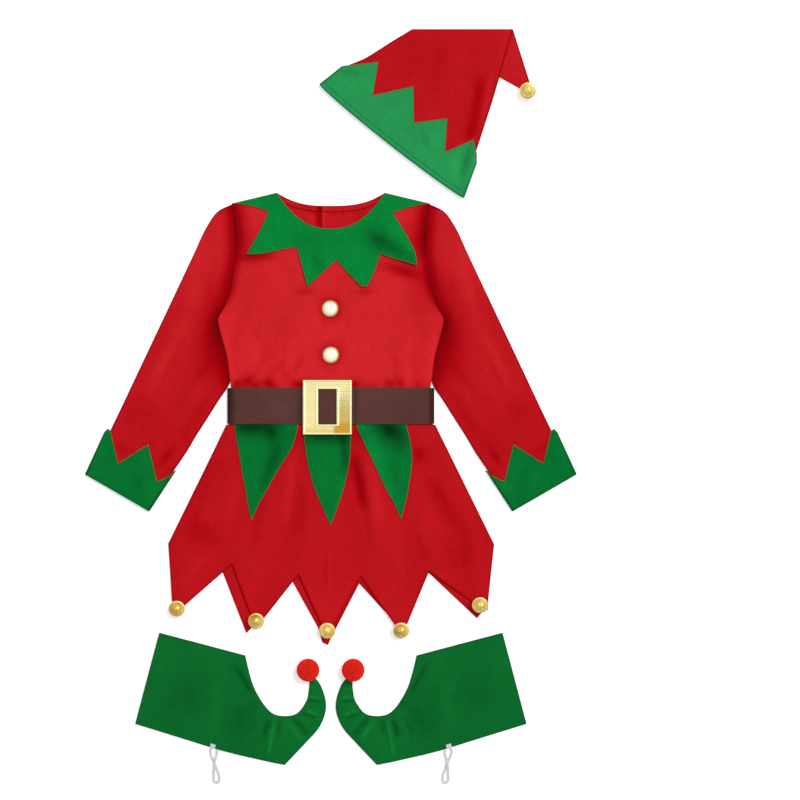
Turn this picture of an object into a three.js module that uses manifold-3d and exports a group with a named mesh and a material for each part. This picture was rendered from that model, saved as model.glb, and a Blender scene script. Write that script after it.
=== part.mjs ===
// Elf costume for a child of about eight, laid flat: a dress with its belt, a hat and two shoe covers.
// Millimetres. X runs across the dress from its centre line, +Y from hem to neck, +Z up from the surface.
// The hat lies above the dress's neck on the right, the shoe covers lie below its hem.
import * as THREE from 'three';
import Module from 'manifold-3d';
import { mergeVertices } from 'three/addons/utils/BufferGeometryUtils.js';

const wasm = await Module();
wasm.setup();

// Walls and clearances
const CLOTH = 1.5;
const SEAM = 0.3;
const EASE = 0.2;
const LAYER = CLOTH + SEAM;
const BELT_WALL = 1.6;
const BAND_WALL = 1;

// Dress, measured flat
const WAIST_Y = -14.3;
const SHOULDER = { x: 148.5, y: 288 };
const NECK = { x: 80, y: 303.9, front: 250.5, back: 284.3, frontPower: 2.35, backPower: 2.75 };
const LAP = { left: 18.8, right: -14.3, past: 10, ramp: 12 };
const NECKBAND_WIDTH = 9;
const SKIRT = { waistHalf: 156, cornerHalf: 244, cornerY: -221 };

// Belt and buckle
const BELT = { half: 154.8, top: 12, bottom: -41.6 };
const BUCKLE = { x: -5, y: -16.9, width: 73.5, height: 81.8, windowX: 28.2, windowY: 53, thick: 3.2 };
const BUTTON = { radius: 12.6, height: 5, rim: 0.8 };
// sits is the height of a bell's middle above what it lies on, and band is half the height of its seam
const BELL = {
  radius: 12, dome: 10.2, band: 0.8, slot: 1.6, slotDepth: 2, slotLength: 12, tilt: 80, sits: 10.1,
};
const POMPOM = { x: -33.6, y: -408.6, radius: 17.2, core: 9, tipWidth: 0.47, clear: 0.35 };
const ELASTIC = { radius: 1.2, sides: 8, steps: 32 };

// Heights of the undersides of the dress's layers above the surface
const LIFT = { collarBack: 1.9, beltBack: 2, edge: 4.15, middle: 4.5, neck: 5.7, belt: 5.8, skirt: 1.9 };
const UNDERARM = { y: 108, wide: 36, rise: 1.7 };
const BELT_UNDER = 10.1;
const CREST_LIMIT = 5.6;
const BACK_SHARE = 0.35;

const FINISH = {
  red: { color: 0xc31c22, roughness: 0.92, metalness: 0 },
  green: { color: 0x0c8037, roughness: 0.92, metalness: 0 },
  mint: { color: 0x269d55, roughness: 0.92, metalness: 0 },
  pine: { color: 0x0e732d, roughness: 0.92, metalness: 0 },
  brown: { color: 0x5a3a34, roughness: 0.7, metalness: 0 },
  buckleGold: { color: 0xe6cf82, roughness: 0.35, metalness: 0.8 },
  bellGold: { color: 0xd7aa3c, roughness: 0.25, metalness: 1 },
  pearl: { color: 0xfffad7, roughness: 0.25, metalness: 0.3 },
  wool: { color: 0xd71e1e, roughness: 1, metalness: 0 },
  white: { color: 0xf4f2f2, roughness: 0.8, metalness: 0 },
};

const group = new THREE.Group();

// Small helpers
const mix = (a, b, t) => a + (b - a) * t;
const mixPoint = (a, b, t) => a.map((value, k) => mix(value, b[k], t));
const smooth = (t) => {
  const s = Math.min(1, Math.max(0, t));
  return s * s * (3 - 2 * s);
};
const bump = (t) => Math.exp(-t * t);

function lookup(table, key, at, value) {
  const last = table.length - 1;
  for (let k = 0; k < last; k++) {
    const [low, high] = [table[k], table[k + 1]];
    if (at <= high[key] || k === last - 1) {
      const t = Math.min(1, Math.max(0, (at - low[key]) / (high[key] - low[key])));
      return mix(low[value], high[value], t);
    }
  }
}

// Each interval of a list of numbers cut into equal parts
function divide(list, parts) {
  const out = [list[0]];
  for (let k = 1; k < list.length; k++) {
    for (let n = 1; n <= parts; n++) {
      out.push(mix(list[k - 1], list[k], n / parts));
    }
  }
  return out;
}

function signedVolume(geometry) {
  const p = geometry.attributes.position;
  const index = geometry.index;
  const [a, b, c] = [new THREE.Vector3(), new THREE.Vector3(), new THREE.Vector3()];
  let sum = 0;
  for (let k = 0; k < index.count; k += 3) {
    a.fromBufferAttribute(p, index.getX(k));
    b.fromBufferAttribute(p, index.getX(k + 1));
    c.fromBufferAttribute(p, index.getX(k + 2));
    sum += a.dot(b.cross(c));
  }
  return sum / 6;
}

// A closed geometry from points and triangles, turned so that its faces point out
function closedGeometry(points, triangles) {
  const geometry = new THREE.BufferGeometry();
  geometry.setAttribute('position', new THREE.Float32BufferAttribute(points.flat(), 3));
  geometry.setIndex(triangles);
  if (signedVolume(geometry) < 0) {
    for (let k = 0; k < triangles.length; k += 3) {
      [triangles[k], triangles[k + 1]] = [triangles[k + 1], triangles[k]];
    }
    geometry.setIndex(triangles);
  }
  return geometry;
}

function add(name, geometry, finish, place = [0, 0, 0], turn = [0, 0, 0]) {
  const mesh = new THREE.Mesh(geometry, new THREE.MeshStandardMaterial(FINISH[finish]));
  mesh.name = name;
  mesh.position.set(...place);
  mesh.rotation.set(...turn);
  group.add(mesh);
}

// A sheet of cloth: grid[row][column] holds points of its underside, and the wall rises from them
function sheet(grid, wall = CLOTH) {
  const rows = grid.length;
  const columns = grid[0].length;
  const under = grid.flat();
  const points = [...under, ...under.map(([x, y, z]) => [x, y, z + wall])];
  const at = (layer, row, column) => (layer * rows + row) * columns + column;
  const triangles = [];
  const quad = (a, b, c, d) => triangles.push(a, b, c, a, c, d);
  for (let r = 0; r < rows - 1; r++) {
    for (let c = 0; c < columns - 1; c++) {
      quad(at(1, r, c), at(1, r, c + 1), at(1, r + 1, c + 1), at(1, r + 1, c));
      quad(at(0, r, c), at(0, r + 1, c), at(0, r + 1, c + 1), at(0, r, c + 1));
    }
    quad(at(0, r, 0), at(1, r, 0), at(1, r + 1, 0), at(0, r + 1, 0));
    const end = columns - 1;
    quad(at(0, r, end), at(0, r + 1, end), at(1, r + 1, end), at(1, r, end));
  }
  for (let c = 0; c < columns - 1; c++) {
    const end = rows - 1;
    quad(at(0, 0, c), at(0, 0, c + 1), at(1, 0, c + 1), at(1, 0, c));
    quad(at(0, end, c), at(1, end, c), at(1, end, c + 1), at(0, end, c + 1));
  }
  return closedGeometry(points, triangles);
}

// A tube of cloth pressed flat, open at both ends. plan(v, f) gives a point seen from above, v along
// the tube and f across it, with its folded edges at f = 0 and f = 1. Its underside is at base(v),
// and the hollow between its two layers is gap(v, f) high.
function flatTube({ along, across, plan, base, gap, wall = CLOTH, bend = (point) => point }) {
  const inside = across.slice(1, -1);
  const ARC = [-45, 0, 45];
  const ring = (v, inner) => {
    const height = base(v);
    const edgeGap = gap(v, 0);
    const radius = wall + edgeGap / 2;
    const low = inner ? wall : 0;
    const high = (f) => (inner ? wall + gap(v, f) : 2 * wall + gap(v, f));
    const edge = (f, next) => {
      const from = plan(v, f);
      const to = plan(v, next);
      const length = Math.hypot(to[0] - from[0], to[1] - from[1]);
      const e = [(to[0] - from[0]) / length, (to[1] - from[1]) / length];
      const centre = [from[0] + e[0] * radius, from[1] + e[1] * radius];
      const r = inner ? edgeGap / 2 : radius;
      const arc = ARC.map((degrees) => {
        const angle = THREE.MathUtils.degToRad(degrees);
        const out = -r * Math.cos(angle);
        return [centre[0] + e[0] * out, centre[1] + e[1] * out, height + radius + r * Math.sin(angle)];
      });
      return { centre, arc };
    };
    const start = edge(0, inside[0]);
    const end = edge(1, inside[inside.length - 1]);
    const bottom = inside.map((f) => [...plan(v, f), height + low]);
    const top = inside.map((f) => [...plan(v, f), height + high(f)]).reverse();
    return [
      [...start.centre, height + low], ...bottom, [...end.centre, height + low],
      ...end.arc,
      [...end.centre, height + high(1)], ...top, [...start.centre, height + high(0)],
      ...start.arc.reverse(),
    ].map(bend);
  };
  const outer = along.map((v) => ring(v, false));
  const inner = along.map((v) => ring(v, true)).reverse();
  const rings = [...outer, ...inner];
  const count = rings[0].length;
  const triangles = [];
  rings.forEach((_, k) => {
    const next = (k + 1) % rings.length;
    for (let n = 0; n < count; n++) {
      const m = (n + 1) % count;
      const [a, b, c, d] = [k * count + n, k * count + m, next * count + m, next * count + n];
      triangles.push(a, b, c, a, c, d);
    }
  });
  return closedGeometry(rings.flat(), triangles);
}

// Points of a table as rows, blended at a fractional row number
function rowAt(table, row, keys) {
  const k = Math.min(table.length - 2, Math.floor(row));
  return keys.map((key) => mix(table[k][key], table[k + 1][key], row - k));
}

// Shape of the dress, right half, from the waist seam up: side seam, underarm, armhole, shoulder
const SIDE = [
  { y: WAIST_Y, front: 149, back: 148 },
  { y: 12, front: 149.3, back: 148 },
  { y: 28, front: 151.4, back: 147.6 },
  { y: 55.5, front: 154.7, back: 149.8 },
  { y: 86, front: 162.5, back: 155.9 },
  { y: 114, front: 168.6, back: 159.5 },
  { y: 130, front: 160.5, back: 152.5 },
  { y: 148.5, front: 152.1, back: 146.5 },
  { y: 179.4, front: 147, back: 139.5 },
  { y: 213, front: 143.1, back: 135.5 },
  { y: 250, front: 144.2, back: 135 },
  { y: 272, front: 145.5, back: 136.5 },
  { y: SHOULDER.y, front: SHOULDER.x, back: 140 },
];
const sideAt = (y, piece) => lookup(SIDE, 'y', y, piece);

// Upper edge of a bodice piece: the neckline, then the shoulder line
function upperEdge(x, low, power) {
  const a = Math.abs(x);
  if (a <= NECK.x) {
    return mix(low, NECK.y, (a / NECK.x) ** power);
  }
  return mix(NECK.y, SHOULDER.y, (a - NECK.x) / (SHOULDER.x - NECK.x));
}
const frontNeck = (x) => upperEdge(x, NECK.front, NECK.frontPower);
const backNeck = (x) => upperEdge(x, NECK.back, NECK.backPower);

// Gathers at the waist: small crests pushed up on both sides of the belt
const GATHERS = [
  { x: -138, wide: 10, rise: 0.9 },
  { x: -112, wide: 12, rise: 1.2 },
  { x: -82, wide: 11, rise: 1.2 },
  { x: -58, wide: 9, rise: 0.9 },
  { x: 52, wide: 10, rise: 1.1 },
  { x: 80, wide: 11, rise: 0.9 },
  { x: 108, wide: 12, rise: 1.2 },
  { x: 136, wide: 10, rise: 0.9 },
];
const GATHER_REACH = 36;
const GATHER_CREST = 1.3;
const gatherFade = (away) => smooth(away / 12) * smooth(2 - away / GATHER_REACH);
function gatherAt(x, away) {
  return gatherFade(away) * GATHERS.reduce((sum, g) => sum + g.rise * bump((x - g.x) / g.wide), 0);
}

// Flutes of the skirt. turn is the place across it, from -1 at one side to 1 at the other.
const FLUTES = [
  { turn: -0.78, wide: 0.1, rise: 3.6 },
  { turn: -0.47, wide: 0.12, rise: 4.6 },
  { turn: -0.14, wide: 0.1, rise: 4 },
  { turn: 0.03, wide: 0.07, rise: 3 },
  { turn: 0.3, wide: 0.12, rise: 5.2 },
  { turn: 0.6, wide: 0.1, rise: 4.4 },
  { turn: 0.82, wide: 0.08, rise: 3.4 },
];
function skirtHalf(y) {
  return mix(SKIRT.waistHalf, SKIRT.cornerHalf, (BELT.bottom - y) / (BELT.bottom - SKIRT.cornerY));
}
function fluteAt(x, y) {
  const turn = x / skirtHalf(y);
  const grow = smooth((BELT.bottom - 8 - y) / 150);
  const side = smooth((1 - Math.abs(turn)) / 0.12);
  const rise = FLUTES.reduce((sum, f) => sum + f.rise * bump((turn - f.turn) / f.wide), 0);
  return grow * side * Math.min(CREST_LIMIT, rise);
}

// Heights of the undersides of the dress's layers
const BELT_REACH = 25;
function besideBelt(y) {
  const below = y - BELT.bottom + 4 + BELT_REACH;
  const above = BELT.top + 4 + BELT_REACH - y;
  return smooth(below / BELT_REACH) * smooth(above / BELT_REACH);
}
const aboveCollarBack = (y) => smooth((y - 160) / 25);
function backLift(y) {
  return LIFT.collarBack * aboveCollarBack(y) + LIFT.beltBack * besideBelt(y);
}
const overLap = (x) => LAYER * smooth((LAP.left + LAP.past + LAP.ramp - x) / LAP.ramp);
const rightBackLift = (x, y) => backLift(y) + overLap(x);
const edgeLift = (y) => LIFT.edge + UNDERARM.rise * bump((y - UNDERARM.y) / UNDERARM.wide);
function frontLift(x, y) {
  const overCollar = (LIFT.neck - LIFT.middle) * aboveCollarBack(y);
  const overBelt = (LIFT.belt - LIFT.middle) * besideBelt(y);
  const middle = LIFT.middle + overCollar + overBelt;
  const inward = smooth((sideAt(y, 'front') - Math.abs(x)) / 30);
  return mix(edgeLift(y), middle, inward) + gatherAt(x, y - BELT.top) * inward;
}
function skirtSmooth(x, y) {
  const press = smooth((y - BELT.bottom + 44) / 40);
  return mix(LIFT.skirt, LIFT.belt, press) + fluteAt(x, y);
}
const skirtLift = (x, y) => skirtSmooth(x, y) + gatherAt(x, BELT.bottom - y);
function leafLift(x, y) {
  const overGathers = GATHER_CREST * gatherFade(BELT.bottom - y);
  return skirtSmooth(x, y) + overGathers + LAYER + EASE;
}
const skirtBackLift = (x, y) => LIFT.beltBack * besideBelt(y) + BACK_SHARE * fluteAt(x, y);

// Bodice front
const FRONT_ROWS = [0, 0.087, 0.14, 0.21, 0.33, 0.425, 0.54, 0.64, 0.75, 0.88, 1];
const FRONT_COLUMNS = 26;
function bodiceFront() {
  const grid = FRONT_ROWS.map((v) => {
    const half = sideAt(mix(WAIST_Y, SHOULDER.y, v), 'front');
    const row = [];
    for (let c = 0; c <= FRONT_COLUMNS; c++) {
      const u = (2 * c) / FRONT_COLUMNS - 1;
      const x = u * half;
      const y = mix(WAIST_Y, frontNeck(u * SHOULDER.x), v);
      row.push([x, y, frontLift(x, y)]);
    }
    return row;
  });
  return sheet(grid);
}

// Bodice back: two panels that lap at the centre. side is -1 for the left one and 1 for the right one.
const BACK_ROWS = [0, 0.087, 0.16, 0.25, 0.34, 0.425, 0.48, 0.54, 0.64, 0.76, 0.88, 1];
const BACK_TOPS = [140, 120, 100, NECK.x, 60, 42];
function bodiceBack(side) {
  const inner = side < 0 ? LAP.left : LAP.right;
  const near = side < 0 ? [-24, -8, 6, inner] : [34, 22, 4, inner];
  const tops = [...BACK_TOPS.map((x) => side * x), ...near];
  const topHalf = side * SIDE[SIDE.length - 1].back;
  const grid = BACK_ROWS.map((v) => {
    const half = side * sideAt(mix(WAIST_Y, SHOULDER.y, v), 'back');
    return tops.map((top) => {
      const x = mix(half, inner, (top - topHalf) / (inner - topHalf));
      const y = mix(WAIST_Y, backNeck(top), v);
      return [x, y, side < 0 ? backLift(y) : rightBackLift(x, y)];
    });
  });
  return sheet(grid);
}

// Neckband: a strip on the inside of each back panel, along the neckline
function neckband(side) {
  const tops = side < 0 ? [-74, -60, -42, -24, LAP.right - 1] : [LAP.right + 1, 4, 22, 34, 42, 60, 74];
  const lift = (x, y) => (side < 0 ? backLift(y) : rightBackLift(x, y)) + LAYER + EASE;
  const grid = [NECKBAND_WIDTH, 0].map((down) => tops.map((x) => {
    const y = backNeck(x) - down;
    return [x, y, lift(x, y)];
  }));
  return sheet(grid, BAND_WALL);
}

// Collar: columns run from the neckline to the pointed edge. neck is the place along the neckline.
const COLLAR_FRONT = [
  { neck: -1, x: -148.3, y: 287.6, lift: 0 },
  { neck: -0.93, x: -93.3, y: 275.6, lift: 0 },
  { neck: -0.8, x: -126.3, y: 212.3, lift: 1 },
  { neck: -0.62, x: -92.1, y: 214.2, lift: 0.6 },
  { neck: -0.42, x: -51, y: 222.8, lift: 0 },
  { neck: -0.28, x: -35, y: 162.5, lift: 1 },
  { neck: 0.1, x: 8.4, y: 203.1, lift: 0 },
  { neck: 0.38, x: 45.9, y: 163.5, lift: 1 },
  { neck: 0.44, x: 54.5, y: 163.5, lift: 1 },
  { neck: 0.6, x: 74.1, y: 212.1, lift: 0.4 },
  { neck: 0.76, x: 129, y: 195.6, lift: 3 },
  { neck: 0.82, x: 125, y: 219.6, lift: 2 },
  { neck: 0.93, x: 92.9, y: 273.2, lift: 0 },
  { neck: 1, x: 148.3, y: 287.6, lift: 0 },
];
const COLLAR_BACK = [
  { neck: 1, x: 138, y: 290, lift: 0 },
  { neck: 0.85, x: 95, y: 262, lift: 0 },
  { neck: 0.7, x: 108, y: 205, lift: 0 },
  { neck: 0.42, x: 58, y: 228, lift: 0 },
  { neck: 0.25, x: 42, y: 193, lift: 0 },
  { neck: 0.003, x: 0.2, y: 222, lift: 0 },
];
const COLLAR_ROWS = [0, 0.33, 0.66, 1];
function collar(table, neckline, under, parts, side = 1) {
  const places = divide([...table.keys()], parts);
  const grid = COLLAR_ROWS.map((v) => places.map((place) => {
    const [neck, edgeX, edgeY, lift] = rowAt(table, place, ['neck', 'x', 'y', 'lift']);
    const neckX = NECK.x * neck;
    const x = side * mix(neckX, edgeX, v);
    const y = mix(neckline(neckX), edgeY, v);
    return [x, y, under(x, y) + lift * v * v];
  }));
  return sheet(grid);
}
const collarLift = (x, y) => frontLift(x, y) + LAYER + 2 * EASE;

// Sleeve, right one: each row joins its outer fold to its inner fold. bow curves the armhole end.
const SLEEVE = [
  { outX: 143.5, outY: 286.5, inX: 162.5, inY: 116, lift: 0, edge: 0.6, puff: 0, bow: 14.5 },
  { outX: 168.9, outY: 275, inX: 159.9, inY: 100, lift: 0, edge: 0.6, puff: 0.9, bow: 9 },
  { outX: 186.9, outY: 251.7, inX: 157.7, inY: 82, lift: 0, edge: 0.6, puff: 1.8, bow: 5 },
  { outX: 205, outY: 213, inX: 151.9, inY: 55, lift: 0, edge: 0.6, puff: 2.6, bow: 2 },
  { outX: 230, outY: 160, inX: 150, inY: 26, lift: 0, edge: 0.6, puff: 2.6, bow: 0 },
  { outX: 262, outY: 92.2, inX: 172, inY: -13, lift: 0, edge: 1, puff: 2.6, bow: 0 },
  { outX: 298, outY: 16, inX: 203, inY: -62, lift: 0, edge: 1, puff: 2.4, bow: 0 },
  { outX: 312, outY: -14, inX: 216, inY: -84, lift: 1, edge: 1, puff: 1.2, bow: 0 },
  { outX: 322.5, outY: -36, inX: 226, inY: -99, lift: 1.9, edge: 1, puff: 0, bow: 0 },
  { outX: 359.2, outY: -112.7, inX: 272.3, inY: -163.1, lift: 1.9, edge: 1, puff: 0, bow: 0 },
];
const SLEEVE_ACROSS = [0, 0.16, 0.36, 0.6, 0.84, 1];
function sleeve(side) {
  const read = (v, keys) => rowAt(SLEEVE, v, keys);
  return flatTube({
    along: [...SLEEVE.keys()],
    across: SLEEVE_ACROSS,
    plan: (v, f) => {
      const [outX, outY, inX, inY, bow] = read(v, ['outX', 'outY', 'inX', 'inY', 'bow']);
      const pull = bow * Math.max(0, Math.sin(Math.PI * f)) ** 0.65;
      return [side * (mix(outX, inX, f) - pull), mix(outY, inY, f)];
    },
    base: (v) => read(v, ['lift'])[0],
    gap: (v, f) => {
      const [edge, puff] = read(v, ['edge', 'puff']);
      return edge + puff * Math.max(0, Math.sin(Math.PI * f)) ** 0.7 * smooth((1 - f) / 0.35);
    },
  });
}

// Cuff, right one: columns run from its hem to its pointed edge
const CUFF_HEM = { outX: 368, outY: -116.9, inX: 271.5, inY: -172.8, bow: 0 };
const CUFF_GAP = 4.8;
const CUFF = [
  { f: 0, x: 339.3, y: -54.6 },
  { f: 0.06, x: 333.8, y: -49 },
  { f: 0.1, x: 329, y: -53.6 },
  { f: 0.3, x: 317.6, y: -100.2 },
  { f: 0.53, x: 272.9, y: -72 },
  { f: 0.86, x: 259.6, y: -127.4 },
  { f: 0.92, x: 241, y: -119.2 },
  { f: 0.955, x: 236.1, y: -113 },
  { f: 1, x: 231, y: -110.8 },
];

// Hat brim: columns run from its hem to its pointed edge
const BRIM_HEM = { outX: -17.1, outY: 467.1, inX: 199.8, inY: 296.7, bow: 6.6 };
const BRIM_GAP = 4.9;
const BRIM = [
  { f: 0, x: 15.8, y: 493.2 },
  { f: 0.1, x: 43.7, y: 496.6 },
  { f: 0.18, x: 71.7, y: 500 },
  { f: 0.267, x: 63, y: 449.7 },
  { f: 0.41, x: 123.9, y: 463.4 },
  { f: 0.535, x: 124.7, y: 408.6 },
  { f: 0.66, x: 174.5, y: 415.5 },
  { f: 0.765, x: 171.2, y: 365.1 },
  { f: 0.86, x: 213.5, y: 383.7 },
  { f: 0.93, x: 218.4, y: 362.6 },
  { f: 1, x: 218.4, y: 347.7 },
];

// A pointed band round the end of a sleeve or hat, pressed flat with what it goes round.
// Its hem bows out sideways.
function pointedBand(table, hem, gap, side = 1) {
  const [hemX, hemY] = [hem.inX - hem.outX, hem.inY - hem.outY];
  const hemLength = Math.hypot(hemX, hemY);
  return flatTube({
    along: [0, 0.5, 1],
    across: table.map((row) => row.f),
    plan: (v, f) => {
      const bow = (hem.bow * Math.sqrt(Math.max(0, Math.sin(Math.PI * f)))) / hemLength;
      const from = [mix(hem.outX, hem.inX, f) + bow * hemY, mix(hem.outY, hem.inY, f) - bow * hemX];
      const to = [lookup(table, 'f', f, 'x'), lookup(table, 'f', f, 'y')];
      const [x, y] = mixPoint(from, to, v);
      return [side * x, y];
    },
    base: () => 0,
    gap: () => gap,
  });
}

// Skirt: columns run from the waist to the pointed hem. waist is the place across the waist.
const SKIRT_FRONT = [
  { waist: -1, x: -243.6, y: -221 },
  { waist: -0.96, x: -237.9, y: -304.5 },
  { waist: -0.92, x: -231.5, y: -324 },
  { waist: -0.87, x: -218, y: -313 },
  { waist: -0.62, x: -148.1, y: -252 },
  { waist: -0.45, x: -120.3, y: -326.3 },
  { waist: -0.4, x: -111.5, y: -343 },
  { waist: -0.36, x: -98.2, y: -330.6 },
  { waist: -0.2, x: -48.5, y: -267.2 },
  { waist: -0.05, x: -15.8, y: -339 },
  { waist: 0, x: -5.3, y: -357 },
  { waist: 0.04, x: 6, y: -342 },
  { waist: 0.2, x: 44.3, y: -269.7 },
  { waist: 0.38, x: 95.3, y: -341.9 },
  { waist: 0.42, x: 105, y: -357 },
  { waist: 0.46, x: 115.2, y: -339.3 },
  { waist: 0.62, x: 147, y: -262.5 },
  { waist: 0.87, x: 214.5, y: -310.5 },
  { waist: 0.92, x: 224.3, y: -320 },
  { waist: 0.945, x: 234.6, y: -320.5 },
  { waist: 0.965, x: 236, y: -300 },
  { waist: 1, x: 244.5, y: -222 },
];
const SKIRT_BACK = [
  { waist: -1, x: -242.5, y: -223 },
  { waist: -0.93, x: -233, y: -312 },
  { waist: -0.66, x: -166, y: -254 },
  { waist: -0.45, x: -126.5, y: -355.5 },
  { waist: -0.42, x: -118, y: -346 },
  { waist: -0.24, x: -64, y: -268 },
  { waist: -0.04, x: -12.6, y: -369.4 },
  { waist: -0.02, x: -4.2, y: -372.9 },
  { waist: 0.02, x: 0.5, y: -362 },
  { waist: 0.2, x: 42.5, y: -281 },
  { waist: 0.42, x: 102, y: -346 },
  { waist: 0.62, x: 142.5, y: -261 },
  { waist: 0.9, x: 218.8, y: -333 },
  { waist: 0.95, x: 233, y: -316 },
  { waist: 1, x: 243, y: -224 },
];
// The rows of the skirt: two heights at the belt, then shares of the way from there to the hem
const SKIRT_TOP = [
  { y: WAIST_Y - 0.5, wide: 148.5 },
  { y: BELT.bottom - 0.8, wide: 149 },
  { y: BELT.bottom - 7, wide: 159 },
];
function skirt(table, parts, downs, under) {
  const stretch = (row, k) => divide([k - 1, k], parts(row, table[k - 1])).slice(1);
  const places = table.flatMap((row, k) => (k === 0 ? [0] : stretch(row, k)));
  const columns = places.map((place) => {
    const [waist, x, y] = rowAt(table, place, ['waist', 'x', 'y']);
    const top = SKIRT_TOP.map((row) => [waist * row.wide, row.y]);
    const from = top[top.length - 1];
    return [...top, ...downs.map((down) => mixPoint(from, [x, y], down))];
  });
  const rows = columns[0].map((_, r) => columns.map((column) => column[r]));
  return sheet(rows.map((row) => row.map(([x, y]) => [x, y, under(x, y)])));
}

// Leaves: left and right edges at distances down from the line y = 0
const LEAVES = {
  leaf_left: [
    { down: 20, left: -145.5, right: -44 },
    { down: 42.5, left: -144.6, right: -48 },
    { down: 73, left: -139.8, right: -56 },
    { down: 108, left: -134, right: -77 },
    { down: 140, left: -128.2, right: -95 },
    { down: 165, left: -123.8, right: -109 },
    { down: 185.5, left: -119.2, right: -118 },
  ],
  leaf_centre: [
    { down: 20, left: -40, right: 31 },
    { down: 58, left: -40, right: 30.6 },
    { down: 86, left: -37.5, right: 29.4 },
    { down: 110, left: -32.6, right: 26 },
    { down: 139, left: -24.3, right: 19.4 },
    { down: 168, left: -12, right: 9.8 },
    { down: 193, left: -0.8, right: 0.5 },
  ],
  leaf_right: [
    { down: 20, left: 33.5, right: 112 },
    { down: 42.5, left: 37.5, right: 113.4 },
    { down: 65, left: 47, right: 119 },
    { down: 94, left: 61, right: 122 },
    { down: 137, left: 81, right: 116.8 },
    { down: 162, left: 95, right: 111.5 },
    { down: 183.6, left: 104, right: 105.2 },
  ],
};
const LEAF_ACROSS = [0, 0.2, 0.4, 0.6, 0.8, 1];
const LEAF_DOWNS = [20, 43, 49, 66, 86, 110, 140, 165];
function leaf(table) {
  const grid = [...LEAF_DOWNS, table[table.length - 1].down].map((down) => LEAF_ACROSS.map((f) => {
    const x = mix(lookup(table, 'down', down, 'left'), lookup(table, 'down', down, 'right'), f);
    return [x, -down, leafLift(x, -down)];
  }));
  return sheet(grid);
}

// Belt: a strip all round the waist, pressed flat with it, and its buckle on the front
function belt() {
  return flatTube({
    along: [0, 1],
    across: [0, 0.1, 0.3, 0.5, 0.7, 0.9, 1],
    plan: (v, f) => [mix(-BELT.half, BELT.half, f), mix(BELT.bottom, BELT.top, v)],
    base: () => 0,
    gap: () => BELT_UNDER - BELT_WALL,
    wall: BELT_WALL,
  });
}
function rectangle(target, width, height) {
  target.moveTo(-width / 2, -height / 2);
  target.lineTo(width / 2, -height / 2);
  target.lineTo(width / 2, height / 2);
  target.lineTo(-width / 2, height / 2);
  target.closePath();
  return target;
}
function buckle() {
  const bevel = 0.6;
  const outline = rectangle(new THREE.Shape(), BUCKLE.width - 2 * bevel, BUCKLE.height - 2 * bevel);
  outline.holes.push(rectangle(new THREE.Path(), BUCKLE.windowX + 2 * bevel, BUCKLE.windowY + 2 * bevel));
  const geometry = new THREE.ExtrudeGeometry(outline, {
    depth: BUCKLE.thick - 2 * bevel,
    bevelThickness: bevel,
    bevelSize: bevel,
    bevelSegments: 1,
  });
  return geometry.translate(0, 0, bevel);
}

// Button: a low dome with a rounded rim
function button() {
  const profile = [new THREE.Vector2(0, 0), new THREE.Vector2(BUTTON.radius - 0.6, 0)];
  for (const degrees of [0, 30, 55, 75]) {
    const angle = THREE.MathUtils.degToRad(degrees);
    const height = BUTTON.rim + (BUTTON.height - BUTTON.rim) * Math.sin(angle);
    profile.push(new THREE.Vector2(BUTTON.radius * Math.cos(angle), height));
  }
  profile.push(new THREE.Vector2(0, BUTTON.height));
  return new THREE.LatheGeometry(profile, 16).rotateX(Math.PI / 2);
}
function buttonHeight(x, y) {
  const reach = [-BUTTON.radius, 0, BUTTON.radius];
  const heights = reach.flatMap((dx) => reach.map((dy) => frontLift(x + dx, y + dy)));
  return Math.max(...heights) + LAYER;
}

// Jingle bell: two domes joined at a flat seam, with two crossed slots in one dome, cut as grooves
function solid(geometry) {
  const plain = geometry.index ? geometry.clone() : geometry;
  plain.deleteAttribute('normal');
  plain.deleteAttribute('uv');
  const merged = mergeVertices(plain, 1e-4);
  return new wasm.Manifold(new wasm.Mesh({
    numProp: 3,
    vertProperties: new Float32Array(merged.attributes.position.array),
    triVerts: new Uint32Array(merged.index.array),
  }));
}
function bell() {
  const onDome = (degrees) => {
    const angle = THREE.MathUtils.degToRad(degrees);
    return new THREE.Vector2(BELL.dome * Math.cos(angle), BELL.dome * Math.sin(angle));
  };
  const profile = [
    new THREE.Vector2(0, -BELL.dome),
    ...[-60, -32, -8].map(onDome),
    new THREE.Vector2(BELL.radius, -BELL.band),
    new THREE.Vector2(BELL.radius, BELL.band),
    ...[8, 32, 60].map(onDome),
    new THREE.Vector2(0, BELL.dome),
  ];
  const sizes = [[BELL.slotLength, BELL.slot], [BELL.slot, BELL.slotLength]];
  let ball = solid(new THREE.LatheGeometry(profile, 12));
  for (const [wide, deep] of sizes) {
    const groove = new THREE.BoxGeometry(wide, 2 * BELL.slotDepth, deep);
    groove.translate(0, -BELL.dome, 0);
    ball = ball.subtract(solid(groove));
  }
  const mesh = ball.getMesh();
  const geometry = new THREE.BufferGeometry();
  geometry.setAttribute('position', new THREE.Float32BufferAttribute(mesh.vertProperties, 3));
  geometry.setIndex([...mesh.triVerts]);
  return geometry;
}
const BELLS = [
  { name: 'bell_hem_1', x: -229.2, y: -317.1 },
  { name: 'bell_hem_2', x: -111.1, y: -335.7 },
  { name: 'bell_hem_3', x: -5.1, y: -350.2 },
  { name: 'bell_hem_4', x: 105.3, y: -349.5 },
  { name: 'bell_hem_5', x: 223, y: -312.1 },
];
const BELL_TURN = [THREE.MathUtils.degToRad(-BELL.tilt), 0, 0];

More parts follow.
